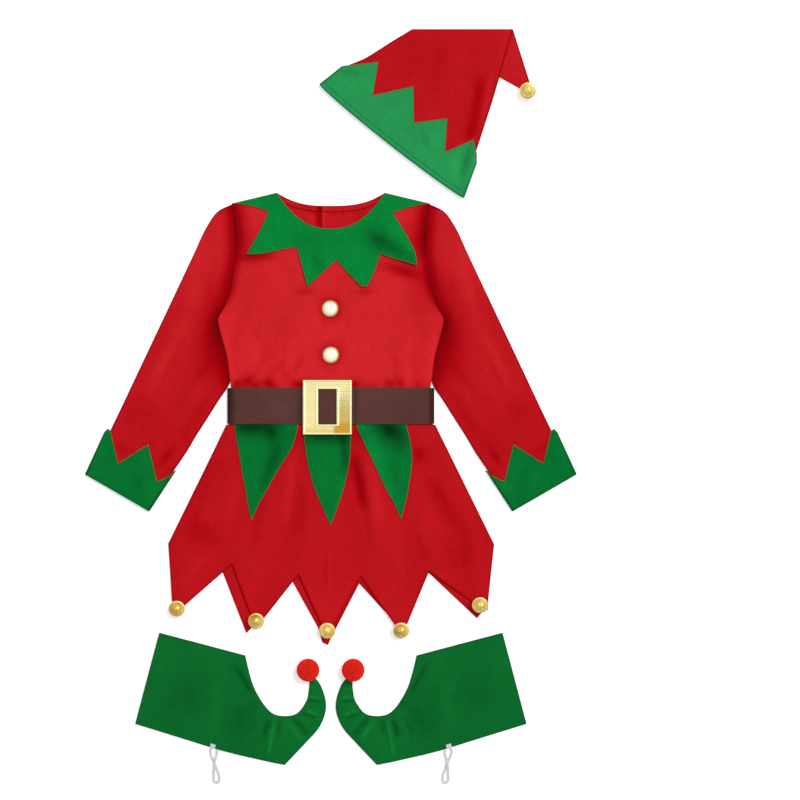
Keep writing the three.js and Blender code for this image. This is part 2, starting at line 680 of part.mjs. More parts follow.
// Hat crown: a cone pressed flat. Rows join its left edge to its right edge, laid out as if it were
// not folded; past FOLD_Y it turns down round the fold and its tip lies under the rest.
const FOLD_Y = 544.4;
const FOLD_INSIDE = 0.6;
const CROWN_GAP = 1;
const CROWN_THICK = 2 * CLOTH + CROWN_GAP;
const FOLD_LIFT = CROWN_THICK + 2 * FOLD_INSIDE;
const TIP_LENGTH = 96;
const FOLD_RADIUS = FOLD_INSIDE + CROWN_THICK / 2;
const FOLD_ARC = Math.PI * FOLD_RADIUS;
const CROWN = [
  { leftX: -9, leftY: 469, rightX: 197, rightY: 306, lift: 1.9 },
  { leftX: 19, leftY: 491.5, rightX: 214, rightY: 349, lift: 1.9 },
  { leftX: 50, leftY: 505, rightX: 217, rightY: 364, lift: 1.9 },
  { leftX: 70, leftY: 517, rightX: 224, rightY: 386, lift: 1.9 },
  { leftX: 90, leftY: 529.6, rightX: 243.7, rightY: 447.6, lift: 0 },
  { leftX: 102, leftY: 536.8, rightX: 247.7, rightY: 461.4, lift: 2.6 },
  { leftX: 111, leftY: 542, rightX: 251.7, rightY: 475.1, lift: FOLD_LIFT },
  { leftX: 113, leftY: 543.2, rightX: 258, rightY: 499, lift: FOLD_LIFT },
  { leftX: 114.3, leftY: 544, rightX: 265.5, rightY: 524, lift: FOLD_LIFT },
  { leftX: 115, leftY: FOLD_Y, rightX: 271.5, rightY: FOLD_Y, lift: FOLD_LIFT },
];
const TIP_END = { leftX: 290.6, rightX: 302 };
const FOLD_SHARES = [0.25, 0.5, 0.75, 1].map((share) => (share * FOLD_ARC) / TIP_LENGTH);
const TIP_SHARES = [...FOLD_SHARES, 0.4, 0.7, 1];
function crownRows() {
  const last = CROWN[CROWN.length - 1];
  const tip = TIP_SHARES.map((t) => ({
    leftX: mix(last.leftX, TIP_END.leftX, t),
    leftY: FOLD_Y + t * TIP_LENGTH,
    rightX: mix(last.rightX, TIP_END.rightX, t),
    rightY: FOLD_Y + t * TIP_LENGTH,
    lift: FOLD_LIFT,
  }));
  return [...CROWN, ...tip];
}
function overFold([x, y, z]) {
  const past = y - FOLD_Y;
  if (past <= 0) {
    return [x, y, z];
  }
  const height = FOLD_INSIDE + z - FOLD_LIFT;
  const centre = FOLD_LIFT - FOLD_INSIDE;
  if (past >= FOLD_ARC - 1e-6) {
    return [x, FOLD_Y - (past - FOLD_ARC), centre - height];
  }
  const angle = past / FOLD_RADIUS;
  return [x, FOLD_Y + height * Math.sin(angle), centre + height * Math.cos(angle)];
}
function hatCrown() {
  const table = crownRows();
  return flatTube({
    along: [...table.keys()],
    across: [0, 0.25, 0.5, 0.75, 1],
    plan: (v, f) => {
      const [leftX, leftY, rightX, rightY] = rowAt(table, v, ['leftX', 'leftY', 'rightX', 'rightY']);
      return [mix(leftX, rightX, f), mix(leftY, rightY, f)];
    },
    base: (v) => rowAt(table, v, ['lift'])[0],
    gap: () => CROWN_GAP,
    bend: overFold,
  });
}
const HAT_BELL = { x: 294.2, y: 455.6 };

// Shoe cover, left one, laid on its side: each row joins the sole seam to the upper edge.
// The sole is straight up to row SOLE_STRAIGHT and the ankle edge up to row ANKLE_STRAIGHT.
const SHOE = [
  { soleX: -293, soleY: -491, topX: -257, topY: -354.6, puff: 2 },
  { soleX: -230, soleY: -510.5, topX: -192.5, topY: -371.6, puff: 3 },
  { soleX: -167.5, soleY: -530, topX: -128.4, topY: -388.6, puff: 3.2 },
  { soleX: -139.5, soleY: -537.3, topX: -121.7, topY: -416.3, puff: 3.4 },
  { soleX: -112, soleY: -543.5, topX: -113.1, topY: -441, puff: 3.6 },
  { soleX: -90, soleY: -548.5, topX: -96.5, topY: -467.2, puff: 3.6 },
  { soleX: -69, soleY: -552.5, topX: -79.5, topY: -478.4, puff: 3.6 },
  { soleX: -39.5, soleY: -521.4, topX: -53, topY: -476.6, puff: 3.6 },
  { soleX: -16.5, soleY: -494.7, topX: -37.2, topY: -457.8, puff: 3.2 },
  { soleX: -7.2, soleY: -465.9, topX: -33.3, topY: -441.8, puff: 2.6 },
  { soleX: -13.5, soleY: -437.3, topX: -32.3, topY: -430.5, puff: 1.6 },
  { soleX: -26, soleY: -418.5, topX: -32.5, topY: -418.8, puff: 0 },
];
const SOLE_STRAIGHT = 6;
const ANKLE_STRAIGHT = 2;
const SHOE_ROWS = [
  0,
  1,
  ...divide([2, 5], 6),
  ...divide([5, 8], 9).slice(1),
  ...divide([8, 11], 6).slice(1),
];
// Wrinkles fan out from the inner curve of the toe. reach is the share of the width that each crosses.
const WRINKLES = [
  { row: 4.6, reach: 0.35, depth: 0.9 },
  { row: 5.33, reach: 0.7, depth: 1.5 },
  { row: 6, reach: 0.5, depth: 1.3 },
  { row: 6.67, reach: 0.8, depth: 1.5 },
  { row: 7.33, reach: 0.6, depth: 1.4 },
  { row: 8, reach: 0.75, depth: 1.3 },
  { row: 8.7, reach: 0.9, depth: 1.1 },
];
function edgeCurve(xKey, yKey, straight) {
  const points = SHOE.slice(straight).map((row) => new THREE.Vector2(row[xKey], row[yKey]));
  const curve = new THREE.SplineCurve(points);
  return (row) => {
    if (row <= straight) {
      return rowAt(SHOE, row, [xKey, yKey]);
    }
    return curve.getPoint((row - straight) / (points.length - 1)).toArray();
  };
}
const soleEdge = edgeCurve('soleX', 'soleY', SOLE_STRAIGHT);
const topEdge = edgeCurve('topX', 'topY', ANKLE_STRAIGHT);
function shoePanel(side, across, under) {
  const grid = across.map((u) => SHOE_ROWS.map((row) => {
    const [x, y] = mixPoint(soleEdge(row), topEdge(row), u);
    return [side * x, y, under(row, u)];
  }));
  return sheet(grid);
}
function shoeTop(row, u) {
  const puff = rowAt(SHOE, row, ['puff'])[0] * (4 * u * (1 - u)) ** 0.6;
  const crease = (w) => w.depth * bump((row - w.row) / 0.24) * smooth((u - 1 + w.reach) / 0.3);
  const wrinkle = WRINKLES.reduce((sum, w) => sum + crease(w), 0);
  return LAYER + puff - wrinkle * smooth((1 - u) / 0.12) * Math.min(1, puff / 2);
}
const shoeFloor = () => 0;

// Pompom: a core whose faces each carry one blunt three-sided strand
function pompom() {
  const core = new THREE.IcosahedronGeometry(1, 1);
  const p = core.attributes.position;
  const points = [];
  const triangles = [];
  for (let k = 0; k < p.count; k += 3) {
    const root = [0, 1, 2].map((n) => new THREE.Vector3().fromBufferAttribute(p, k + n));
    const middle = root[0].clone().add(root[1]).add(root[2]).normalize();
    const tip = root.map((corner) => middle.clone().lerp(corner, POMPOM.tipWidth).normalize());
    const first = points.length;
    root.forEach((corner) => points.push(corner.multiplyScalar(POMPOM.core).toArray()));
    tip.forEach((corner) => points.push(corner.multiplyScalar(POMPOM.radius).toArray()));
    for (const n of [0, 1, 2]) {
      const m = (n + 1) % 3;
      triangles.push(first + n, first + m, first + 3 + m, first + n, first + 3 + m, first + 3 + n);
    }
    triangles.push(first + 3, first + 4, first + 5);
  }
  return mergeVertices(closedGeometry(points, triangles), 1e-4);
}

// Elastic loop of a shoe cover, left one: out of the sole seam, once across itself, and back
const ELASTIC_ROUTE = [
  { x: -179.6, y: -527.6, z: 1.5 },
  { x: -180.6, y: -532.5, z: 1.4 },
  { x: -179.4, y: -539, z: 1.3 },
  { x: -176.6, y: -545, z: 1.3 },
  { x: -174, y: -551, z: 1.3 },
  { x: -171.4, y: -558, z: 1.3 },
  { x: -168.8, y: -565, z: 1.3 },
  { x: -167.2, y: -571, z: 1.3 },
  { x: -167.4, y: -576, z: 1.3 },
  { x: -170.6, y: -579.4, z: 1.3 },
  { x: -174.2, y: -577.8, z: 1.3 },
  { x: -175.8, y: -573, z: 1.3 },
  { x: -175.6, y: -566, z: 1.9 },
  { x: -175.2, y: -558, z: 3.2 },
  { x: -174.2, y: -550, z: 4.1 },
  { x: -172.4, y: -542, z: 3.4 },
  { x: -170.6, y: -535.5, z: 2.2 },
  { x: -171.3, y: -529.9, z: 1.5 },
];
function elastic(side) {
  const route = ELASTIC_ROUTE.map((p) => new THREE.Vector3(side * p.x, p.y, p.z));
  const section = new THREE.Shape();
  for (let k = 0; k < ELASTIC.sides; k++) {
    const angle = (2 * Math.PI * (k + 0.5)) / ELASTIC.sides;
    const corner = [ELASTIC.radius * Math.cos(angle), ELASTIC.radius * Math.sin(angle)];
    section[k === 0 ? 'moveTo' : 'lineTo'](...corner);
  }
  section.closePath();
  return new THREE.ExtrudeGeometry(section, {
    steps: ELASTIC.steps,
    extrudePath: new THREE.CatmullRomCurve3(route, false, 'centripetal'),
    bevelEnabled: false,
  });
}

// Dress
add('collar_back_left', collar(COLLAR_BACK, backNeck, () => 0, 1, -1), 'green');
add('collar_back_right', collar(COLLAR_BACK, backNeck, () => 0, 1, 1), 'green');
add('bodice_back_left', bodiceBack(-1), 'red');
add('bodice_back_right', bodiceBack(1), 'red');
add('neckband_left', neckband(-1), 'red');
add('neckband_right', neckband(1), 'red');
add('sleeve_left', sleeve(-1), 'red');
add('sleeve_right', sleeve(1), 'red');
add('cuff_left', pointedBand(CUFF, CUFF_HEM, CUFF_GAP, -1), 'pine');
add('cuff_right', pointedBand(CUFF, CUFF_HEM, CUFF_GAP, 1), 'pine');
add('bodice_front', bodiceFront(), 'red');
add('collar_front', collar(COLLAR_FRONT, frontNeck, collarLift, 2), 'green');

const longStretch = (row, before) => (Math.abs(row.waist - before.waist) > 0.14 ? 3 : 1);
const backStretch = (row, before) => (Math.abs(row.waist - before.waist) > 0.14 ? 2 : 1);
add('skirt_back', skirt(SKIRT_BACK, backStretch, [0.14, 0.4, 0.7, 1], skirtBackLift), 'red');
add('skirt_front', skirt(SKIRT_FRONT, longStretch, [0.07, 0.15, 0.3, 0.5, 0.75, 1], skirtLift), 'red');
for (const [name, table] of Object.entries(LEAVES)) {
  add(name, leaf(table), 'green');
}

add('belt', belt(), 'brown');
add('buckle', buckle(), 'buckleGold', [BUCKLE.x, BUCKLE.y, BELT_UNDER + BELT_WALL + SEAM]);
add('button_upper', button(), 'pearl', [-1, 130.8, buttonHeight(-1, 130.8)]);
add('button_lower', button(), 'pearl', [0, 61.5, buttonHeight(0, 61.5)]);
for (const { name, x, y } of BELLS) {
  const seat = skirtLift(x, y) + CLOTH + BELL.sits;
  add(name, bell(), 'bellGold', [x, y, seat], BELL_TURN);
}

// Hat
add('hat_brim', pointedBand(BRIM, BRIM_HEM, BRIM_GAP), 'mint');
add('hat_crown', hatCrown(), 'red');
const TIP_TOP = FOLD_LIFT - 2 * FOLD_INSIDE;
add('hat_bell', bell(), 'bellGold', [HAT_BELL.x, HAT_BELL.y, TIP_TOP + BELL.sits], BELL_TURN);

// Shoe covers
for (const [word, side] of [['left', 1], ['right', -1]]) {
  add(`shoe_${word}_under`, shoePanel(side, [0, 1], shoeFloor), 'pine');
  add(`shoe_${word}_upper`, shoePanel(side, [0, 0.12, 0.35, 0.65, 0.88, 1], shoeTop), 'pine');
  add(`pompom_${word}`, pompom(), 'wool', [side * POMPOM.x, POMPOM.y, POMPOM.radius + POMPOM.clear]);
  add(`elastic_${word}`, elastic(side), 'white');
}

export default group;
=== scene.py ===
"""A child's elf costume laid flat: felt dress with its belt, pointed hat and two shoe covers.

Millimetres until a mesh is made. X runs across the dress from its centre line, +Y from hem to
neck and +Z up from the surface. Left and right are the picture's.
"""

import math

import bpy
import numpy as np
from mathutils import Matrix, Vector


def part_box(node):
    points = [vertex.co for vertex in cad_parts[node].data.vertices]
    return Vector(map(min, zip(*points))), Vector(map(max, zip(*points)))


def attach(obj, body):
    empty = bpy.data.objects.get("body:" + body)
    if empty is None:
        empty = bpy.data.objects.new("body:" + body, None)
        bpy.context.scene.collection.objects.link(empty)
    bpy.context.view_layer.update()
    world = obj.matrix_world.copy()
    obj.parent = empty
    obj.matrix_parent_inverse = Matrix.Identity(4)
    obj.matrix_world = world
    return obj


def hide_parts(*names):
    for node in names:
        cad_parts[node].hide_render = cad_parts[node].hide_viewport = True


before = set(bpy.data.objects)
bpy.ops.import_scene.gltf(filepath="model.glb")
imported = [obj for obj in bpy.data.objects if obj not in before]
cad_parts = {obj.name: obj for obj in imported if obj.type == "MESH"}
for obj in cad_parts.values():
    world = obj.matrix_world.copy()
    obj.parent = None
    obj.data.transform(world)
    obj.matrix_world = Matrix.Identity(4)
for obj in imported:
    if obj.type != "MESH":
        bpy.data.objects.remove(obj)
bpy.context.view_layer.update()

MM = 0.001

# Walls and clearances
CLOTH = 1.5
SEAM = 0.3
EASE = 0.2
LAYER = CLOTH + SEAM
BELT_WALL = 1.6
BAND_WALL = 1.0

# Dress, measured flat
WAIST_Y = -14.3
SHOULDER = (148.5, 288.0)
NECK = (80.0, 303.9)
NECK_FRONT = (250.5, 2.35)
NECK_BACK = (284.3, 2.75)
LAP_LEFT, LAP_RIGHT, LAP_PAST, LAP_RAMP = 18.8, -14.3, 10, 12
NECKBAND_WIDTH = 9
BUTTONS_Y = (130.8, 61.5)
SKIRT_WAIST_HALF, SKIRT_CORNER_HALF, SKIRT_CORNER_Y = 156, 244, -221
BELT_HALF, BELT_TOP, BELT_BOTTOM = 154.8, 12, -41.6
BELT_WIDTH, BELT_REACH = 54, 25
BELT_UNDER = 10.1
BUCKLE = {"x": -5, "y": -16.9, "width": 73.5, "height": 81.8, "window": (26.8, 52.4), "thick": 3.2}
BUCKLE_WINDOW_UP = 0.9
BUTTON_RADIUS, BUTTON_HEIGHT = 12.6, 5
BELL_DOME, BELL_FLANGE = 10.2, 12.1
POMPOM = {"x": -33.6, "y": -408.6, "radius": 17.2, "core": 14.2, "clear": 0.35, "fibres": 4800}

# Heights of the undersides of the dress's layers above the surface
LIFT = {
    "collar_back": 1.9,
    "belt_back": 2,
    "edge": 4.15,
    "middle": 4.5,
    "neck": 5.7,
    "belt": 5.8,
    "skirt": 1.9,
}
UNDERARM_Y, UNDERARM_WIDE, UNDERARM_RISE = 108, 36, 1.7
CREST_LIMIT = 5.6
BACK_SHARE = 0.35

# Painted shade of each piece as a whole, beside the front of the bodice or of the collar: one cloth painted
# darker piece by piece
PIECE_SHADE = {"back": 0.86, "sleeve": 0.85, "skirt": 0.79, "hat": 0.8, "cuff": 0.76, "leaf": 0.8}

# Distances from an edge at which a sheet has rows of points, so that its edge is round
RIM = np.array([0.0, 0.1, 0.35, 0.75, 1.3, 2.4])

# Painted shade at a rim and how far it reaches, and the distance that stands for no cut edge
RIM_SHADE, RIM_SHADE_REACH = 0.72, 2.6
NO_EDGE = 99.0

# Rough length of one span of a table, for the distances at the rim of its first and last span
SPAN = 40.0

# Distance between a tube's folds and the first points of its faces
TUBE_MARGIN = 2.6

# Numbers of grid steps along a piece, or along each span of its table, and across it
GRID = {
    "front": (34, 100),
    "back": (28, 60),
    "neckband": (60, 8),
    "collar": (14, 34),
    "sleeve": (9, 38),
    "skirt": (110, 56),
    "leaf": (70, 40),
    "belt": (20, 90),
    "crown": (9, 38),
    "shoe": (12, 56),
}


# Curves and tables
def mix(a, b, t):
    return a + (b - a) * t


def smooth(t):
    t = np.clip(t, 0, 1)
    return t * t * (3 - 2 * t)


def bump(t):
    return np.exp(-np.square(t))


def table(names, rows):
    """A table with named columns."""
    return dict(zip(names.split(), np.array(rows, float).T))


def curve(at, xs, ys):
    """A smooth curve through points with rising xs, with no bumps between them."""
    steps = np.diff(xs)
    slopes = np.diff(ys) / steps
    ends = np.zeros(len(xs))
    a, b = slopes[:-1], slopes[1:]
    near, far = 2 * steps[1:] + steps[:-1], steps[1:] + 2 * steps[:-1]
    same = a * b > 0
    safe_a, safe_b = np.where(same, a, 1), np.where(same, b, 1)
    ends[1:-1] = np.where(same, (near + far) / (near / safe_a + far / safe_b), 0)
    ends[0], ends[-1] = slopes[0], slopes[-1]
    at = np.clip(at, xs[0], xs[-1])
    k = np.clip(np.searchsorted(xs, at, side="right") - 1, 0, len(steps) - 1)
    t = (at - xs[k]) / steps[k]
    rise = steps[k] * (ends[k] * t * (1 - t) ** 2 - ends[k + 1] * t * t * (1 - t))
    return mix(ys[k], ys[k + 1], smooth(t)) + rise


def cornered(data, at, names, sag="sag"):
    """Points of a table at row numbers: straight from row to row, or bowed sideways by its sag."""
    k = np.clip(np.floor(at).astype(int), 0, len(data[names[0]]) - 2)
    t = at - k
    x, y = (mix(data[n][k], data[n][k + 1], t) for n in names)
    if sag in data:
        dx, dy = (data[n][k + 1] - data[n][k] for n in names)
        long = np.maximum(np.hypot(dx, dy), 1e-9)
        bow = data[sag][k] * 4 * t * (1 - t)
        x, y = x + bow * dy / long, y - bow * dx / long
    return x, y


def blended(data, at, name):
    return np.interp(at, np.arange(len(data[name])), data[name])


def divided(breaks, parts):
    """Each interval of a list of numbers cut into equal parts."""
    pieces = [np.linspace(a, b, parts, endpoint=False) for a, b in zip(breaks[:-1], breaks[1:])]
    return np.concatenate([*pieces, breaks[-1:]])


def shares(length, count):
    """Shares of each length for the rows of a sheet, closer together near both ends."""
    length = np.asarray(length, float)
    near = np.minimum(RIM[:, None] / length, 0.4 * RIM[:, None] / RIM[-1])
    middle = np.linspace(near[-1], 1 - near[-1], count)[1:-1]
    return np.concatenate([near, middle, 1 - near[::-1]])


def with_rims(places, scale):
    """Column places with more of them near both ends. scale is millimetres for each unit."""
    low = places[0] + RIM[1:] / scale
    high = places[-1] - RIM[1:] / scale
    inner = places[(places > low[-1]) & (places < high[0])]
    return np.concatenate([places[:1], low, inner, high[::-1], places[-1:]])


def folds(x, y, rows):
    """Height of soft folds. Each is a line from one point to another, with its width and rise."""
    total = np.zeros(np.broadcast(x, y).shape)
    for x1, y1, x2, y2, wide, rise in rows:
        dx, dy = x2 - x1, y2 - y1
        long = math.hypot(dx, dy)
        along = ((x - x1) * dx + (y - y1) * dy) / long**2
        off = ((x - x1) * dy - (y - y1) * dx) / long
        total += rise * bump(off / wide) * smooth(along / 0.3) * smooth((1 - along) / 0.3)
    return total


def ripple(x, y):
    """The slow unevenness of cloth that was smoothed by hand."""
    slow = np.sin(x / 31 + 1.3 * np.sin(y / 47)) * np.sin(y / 39 + 0.7 + np.sin(x / 58))
    fine = np.sin(x / 12.7 + y / 19 + 2 * np.sin(y / 33)) * np.sin(y / 16.1 - x / 27)
    return 0.22 * slow + 0.08 * fine


def patches(x, y, rows):
    """Painted lighter and darker places, light and shade on the cloth: middle, sizes, turn in degrees and
    amount.
    """
    tone = np.ones(np.broadcast(x, y).shape)
    for at_x, at_y, wide, high, turn, amount in rows:
        c, s = math.cos(math.radians(turn)), math.sin(math.radians(turn))
        u = ((x - at_x) * c + (y - at_y) * s) / wide
        v = ((y - at_y) * c - (x - at_x) * s) / high
        tone += amount * np.exp(-u * u - v * v)
    return tone


# Meshes
def rim_distance(x, y):
    """How far each point of a grid lies from the grid's own rim, seen from above."""
    loop_x = np.concatenate([x[0], x[1:, -1], x[-1, -2::-1], x[-2::-1, 0]])
    loop_y = np.concatenate([y[0], y[1:, -1], y[-1, -2::-1], y[-2::-1, 0]])
    return line_distance(x, y, loop_x, loop_y)


def line_distance(x, y, line_x, line_y):
    """How far each point of a grid lies from a line of points."""
    far = np.full(x.shape, 1e9)
    for ax, ay, bx, by in zip(line_x[:-1], line_y[:-1], line_x[1:], line_y[1:]):
        dx, dy = bx - ax, by - ay
        long = max(dx * dx + dy * dy, 1e-12)
        t = np.clip(((x - ax) * dx + (y - ay) * dy) / long, 0, 1)
        far = np.minimum(far, np.hypot(x - ax - t * dx, y - ay - t * dy))
    return far


def grid_faces(ids):
    """Four-sided faces of a grid of point numbers."""
    return np.stack([ids[:-1, :-1], ids[:-1, 1:], ids[1:, 1:], ids[1:, :-1]], -1).reshape(-1, 4)


def ring_faces(ids, both=False):
    """Faces of a grid whose last column meets its first, and with both its last row meets its first."""
    if both:
        ids = np.concatenate([ids, ids[:1]])
    return grid_faces(np.concatenate([ids, ids[:, :1]], 1))


def side_word(side):
    return "left" if side < 0 else "right"


def add_object(name, data):
    """An object in the scene with its data: a mesh, a light or a camera."""
    item = bpy.data.objects.new(name, data)
    bpy.context.scene.collection.objects.link(item)
    return item


def mesh_object(name, points, faces, material, values):
    """A mesh object from points in millimetres, with numbers at its points for the material."""
    mesh = bpy.data.meshes.new(name)
    mesh.from_pydata((points * MM).tolist(), [], faces)
    for key, value in values.items():
        layer = mesh.attributes.new(key, "FLOAT", "POINT")
        layer.data.foreach_set("value", np.asarray(value, np.float32).ravel())
    mesh.materials.append(material)
    return add_object(name, mesh)


def make(name, points, faces, material, sharp=60, **values):
    """A smooth mesh object of faces with equal numbers of corners, turned outwards."""
    points = np.asarray(points, float).reshape(-1, 3)
    faces = np.asarray(faces)
    a, b, c = (points[faces[:, k]] for k in range(3))
    volume = (a * np.cross(b, c)).sum()
    if faces.shape[1] == 4:
        volume += (a * np.cross(c, points[faces[:, 3]])).sum()
    if volume < 0:
        faces = faces[:, ::-1]
    piece = mesh_object(name, points, faces.tolist(), material, values)
    piece.data.shade_smooth()
    piece.data.set_sharp_from_angle(angle=math.radians(sharp))
    return piece


def sheet_mesh(name, x, y, under, material, wall=CLOTH, tone=None, cut_edge=True, rim=RIM_SHADE):
    """A sheet of cloth with a round edge over grids of places and of heights of its underside."""
    edge = rim_distance(x, y)
    half = wall / 2
    inner = 1 - np.minimum(edge / half, 1)
    swell = half * np.sqrt(np.maximum(1 - inner**2, 0))
    swell[[0, -1]] = 0
    swell[:, [0, -1]] = 0
    top = np.stack([x, y, under + half + swell], -1)
    low = np.stack([x, y, under + half - swell], -1)
    ids = np.arange(x.size).reshape(x.shape)
    low_ids = ids.copy()
    low_ids[1:-1, 1:-1] = x.size + np.arange((x.shape[0] - 2) * (x.shape[1] - 2)).reshape(
        x.shape[0] - 2, x.shape[1] - 2
    )
    points = np.concatenate([top.reshape(-1, 3), low[1:-1, 1:-1].reshape(-1, 3)])
    faces = np.concatenate([grid_faces(ids), grid_faces(low_ids)[:, ::-1]])
    tone = np.ones(x.shape) if tone is None else np.broadcast_to(tone, x.shape)
    # Painted shade darkens the sheet along its rim
    tone = tone * mix(rim, 1, smooth(edge / RIM_SHADE_REACH))
    if not cut_edge:
        edge = np.full(x.shape, NO_EDGE)
    values = {}
    for key, value in (("edge", edge), ("tone", tone)):
        values[key] = np.concatenate([value.ravel(), value[1:-1, 1:-1].ravel()])
    return make(name, points, faces, material, **values)


ARC = np.radians(np.linspace(-80, 80, 9))
# Painted shade on a tube's round folds, and at the corners beside them
FOLD_SHADE, CORNER_SHADE = 0.66, 0.8


def flat_base(v):
    """Underside of a tube that lies level."""
    return 0 * v


def level_shares(places):
    """The same shares across every row of a tube."""
    return lambda v: np.broadcast_to(places[None, :], (len(v), len(places)))


def margin_shares(plan, count):
    """Shares across the rows of a tube, with the same margin along both its folds."""
    steps = np.concatenate([[0, 0.012, 0.03], np.linspace(0.055, 0.945, count), [0.97, 0.988, 1]])

    def at(v):
        v = v[:, None]
        (x1, y1), (x2, y2) = plan(v, 0 * v), plan(v, 0 * v + 1)
        near = np.minimum(TUBE_MARGIN / np.hypot(x2 - x1, y2 - y1), 0.42)
        return near + (1 - 2 * near) * steps[None, :]

    return at


def tube_grid(plan, along, shares_at, base, gap, wall, inner):
    """Points of one skin of a cloth tube pressed flat, a row for each place along it."""
    v = along[:, None]
    inside = shares_at(along)
    radius = wall + gap(v, 0 * v) / 2
    low = wall if inner else 0
    x, y = plan(v, inside)
    high = base(v) + (wall if inner else 2 * wall) + gap(v, inside)
    floor = np.broadcast_to(base(v) + low, x.shape)

    def edge(at, beside):
        from_x, from_y = plan(v, np.full_like(v, at))
        to_x, to_y = plan(v, beside)
        long = np.hypot(to_x - from_x, to_y - from_y)
        ex, ey = (to_x - from_x) / long, (to_y - from_y) / long
        centre_x, centre_y = from_x + ex * radius, from_y + ey * radius
        r = radius - wall if inner else radius
        out = -r * np.cos(ARC)[None, :]
        up = base(v) + radius + r * np.sin(ARC)[None, :]
        arc = np.stack([centre_x + ex * out, centre_y + ey * out, up], -1)
        return centre_x, centre_y, arc

    start_x, start_y, start = edge(0.0, inside[:, :1])
    end_x, end_y, end = edge(1.0, inside[:, -1:])
    tall = base(v) + (wall if inner else 2 * wall) + gap(v, 0 * v)
    corner = [
        np.stack([cx, cy, h], -1)
        for cx, cy, h in (
            (start_x, start_y, base(v) + low),
            (end_x, end_y, base(v) + low),
            (end_x, end_y, tall),
            (start_x, start_y, tall),
        )
    ]
    bottom = np.stack([x, y, floor], -1)
    top = np.stack([x, y, high], -1)[:, ::-1]
    return np.concatenate([corner[0], bottom, corner[1], end, corner[2], top, corner[3], start[:, ::-1]], 1)


def tube_mesh(
    name, plan, along, shares_at, base, gap, material, tone, wall=CLOTH, bend=None, point_edge=False
):
    """A tube of cloth pressed flat, open at both ends, with its wall's thickness."""
    outer = tube_grid(plan, along, shares_at, base, gap, wall, False)
    lining = tube_grid(plan, along[::-1], shares_at, base, gap, wall, True)
    grid = np.concatenate([outer, lining])
    count = (grid.shape[1] - 4 - 2 * len(ARC)) // 2
    # Painted shade on the folds and their corners, over the piece's own painted light and shade
    flat, fold = [1.0] * count, [FOLD_SHADE] * len(ARC)
    shade = np.array(([CORNER_SHADE] + flat + [CORNER_SHADE] + fold) * 2)
    edge = np.full(grid.shape[:2], NO_EDGE)
    if point_edge:
        line = outer[-1, : count + 2]
        edge = line_distance(grid[..., 0], grid[..., 1], line[:, 0], line[:, 1])
    tones = tone(grid[..., 0], grid[..., 1]) * shade[None, :]
    # Painted shade along the cut edge of a pointed band
    tones *= mix(RIM_SHADE, 1, smooth(edge / RIM_SHADE_REACH))
    if bend:
        grid = bend(grid)
    ids = np.arange(edge.size).reshape(edge.shape)
    return make(name, grid, ring_faces(ids, True), material, edge=edge, tone=tones)


def swept(line, across, up, section):
    """Points of a bar along a line. across and up are directions at each point of it."""
    return line[:, None] + section[None, :, :1] * across[:, None] + section[None, :, 1:] * up[:, None]


def closed_bar(grid):
    """Faces of a swept bar with its two ends closed by fans."""
    rows, count = grid.shape[:2]
    ids = np.arange(rows * count).reshape(rows, count)
    sides = ring_faces(ids)
    points = np.concatenate([grid.reshape(-1, 3), grid[:1].mean(1), grid[-1:].mean(1)])
    fans = []
    for ring, middle in ((ids[0][::-1], rows * count), (ids[-1], rows * count + 1)):
        for k in range(0, count, 2):
            fans.append((ring[k], ring[(k + 1) % count], ring[(k + 2) % count], middle))
    return points, np.concatenate([sides, np.array(fans)])


# Shape of the dress
SIDE = table(
    "y front back",
    [
        (WAIST_Y, 149, 148),
        (12, 149.3, 148),
        (28, 151.4, 147.6),
        (55.5, 154.7, 149.8),
        (86, 162.5, 155.9),
        (114, 168.6, 159.5),
        (130, 160.5, 152.5),
        (148.5, 152.1, 146.5),
        (179.4, 147, 139.5),
        (213, 143.1, 135.5),
        (250, 144.2, 135),
        (272, 145.5, 136.5),
        (SHOULDER[1], SHOULDER[0], 140),
    ],
)


def side_at(y, part):
    return curve(y, SIDE["y"], SIDE[part])


def upper_edge(x, low, power):
    """Upper edge of a bodice piece: the neckline, then the shoulder line."""
    a = np.abs(x)
    neck = mix(low, NECK[1], np.minimum(a / NECK[0], 1) ** power)
    shoulder = mix(NECK[1], SHOULDER[1], (a - NECK[0]) / (SHOULDER[0] - NECK[0]))
    return np.where(a <= NECK[0], neck, shoulder)


def front_neck(x):
    return upper_edge(x, *NECK_FRONT)


def back_neck(x):
    return upper_edge(x, *NECK_BACK)


GATHERS = table(
    "x wide rise",
    [
        (-138, 10, 0.9),
        (-112, 12, 1.2),
        (-82, 11, 1.2),
        (-58, 9, 0.9),
        (52, 10, 1.1),
        (80, 11, 0.9),
        (108, 12, 1.2),
        (136, 10, 0.9),
    ],
)
GATHER_REACH = 36
GATHER_CREST = 1.3


def gather_fade(away):
    return smooth(away / 12) * smooth(2 - away / GATHER_REACH)


def gather_at(x, away):
    crests = sum(r * bump((x - at) / w) for at, w, r in zip(*GATHERS.values()))
    return gather_fade(away) * crests


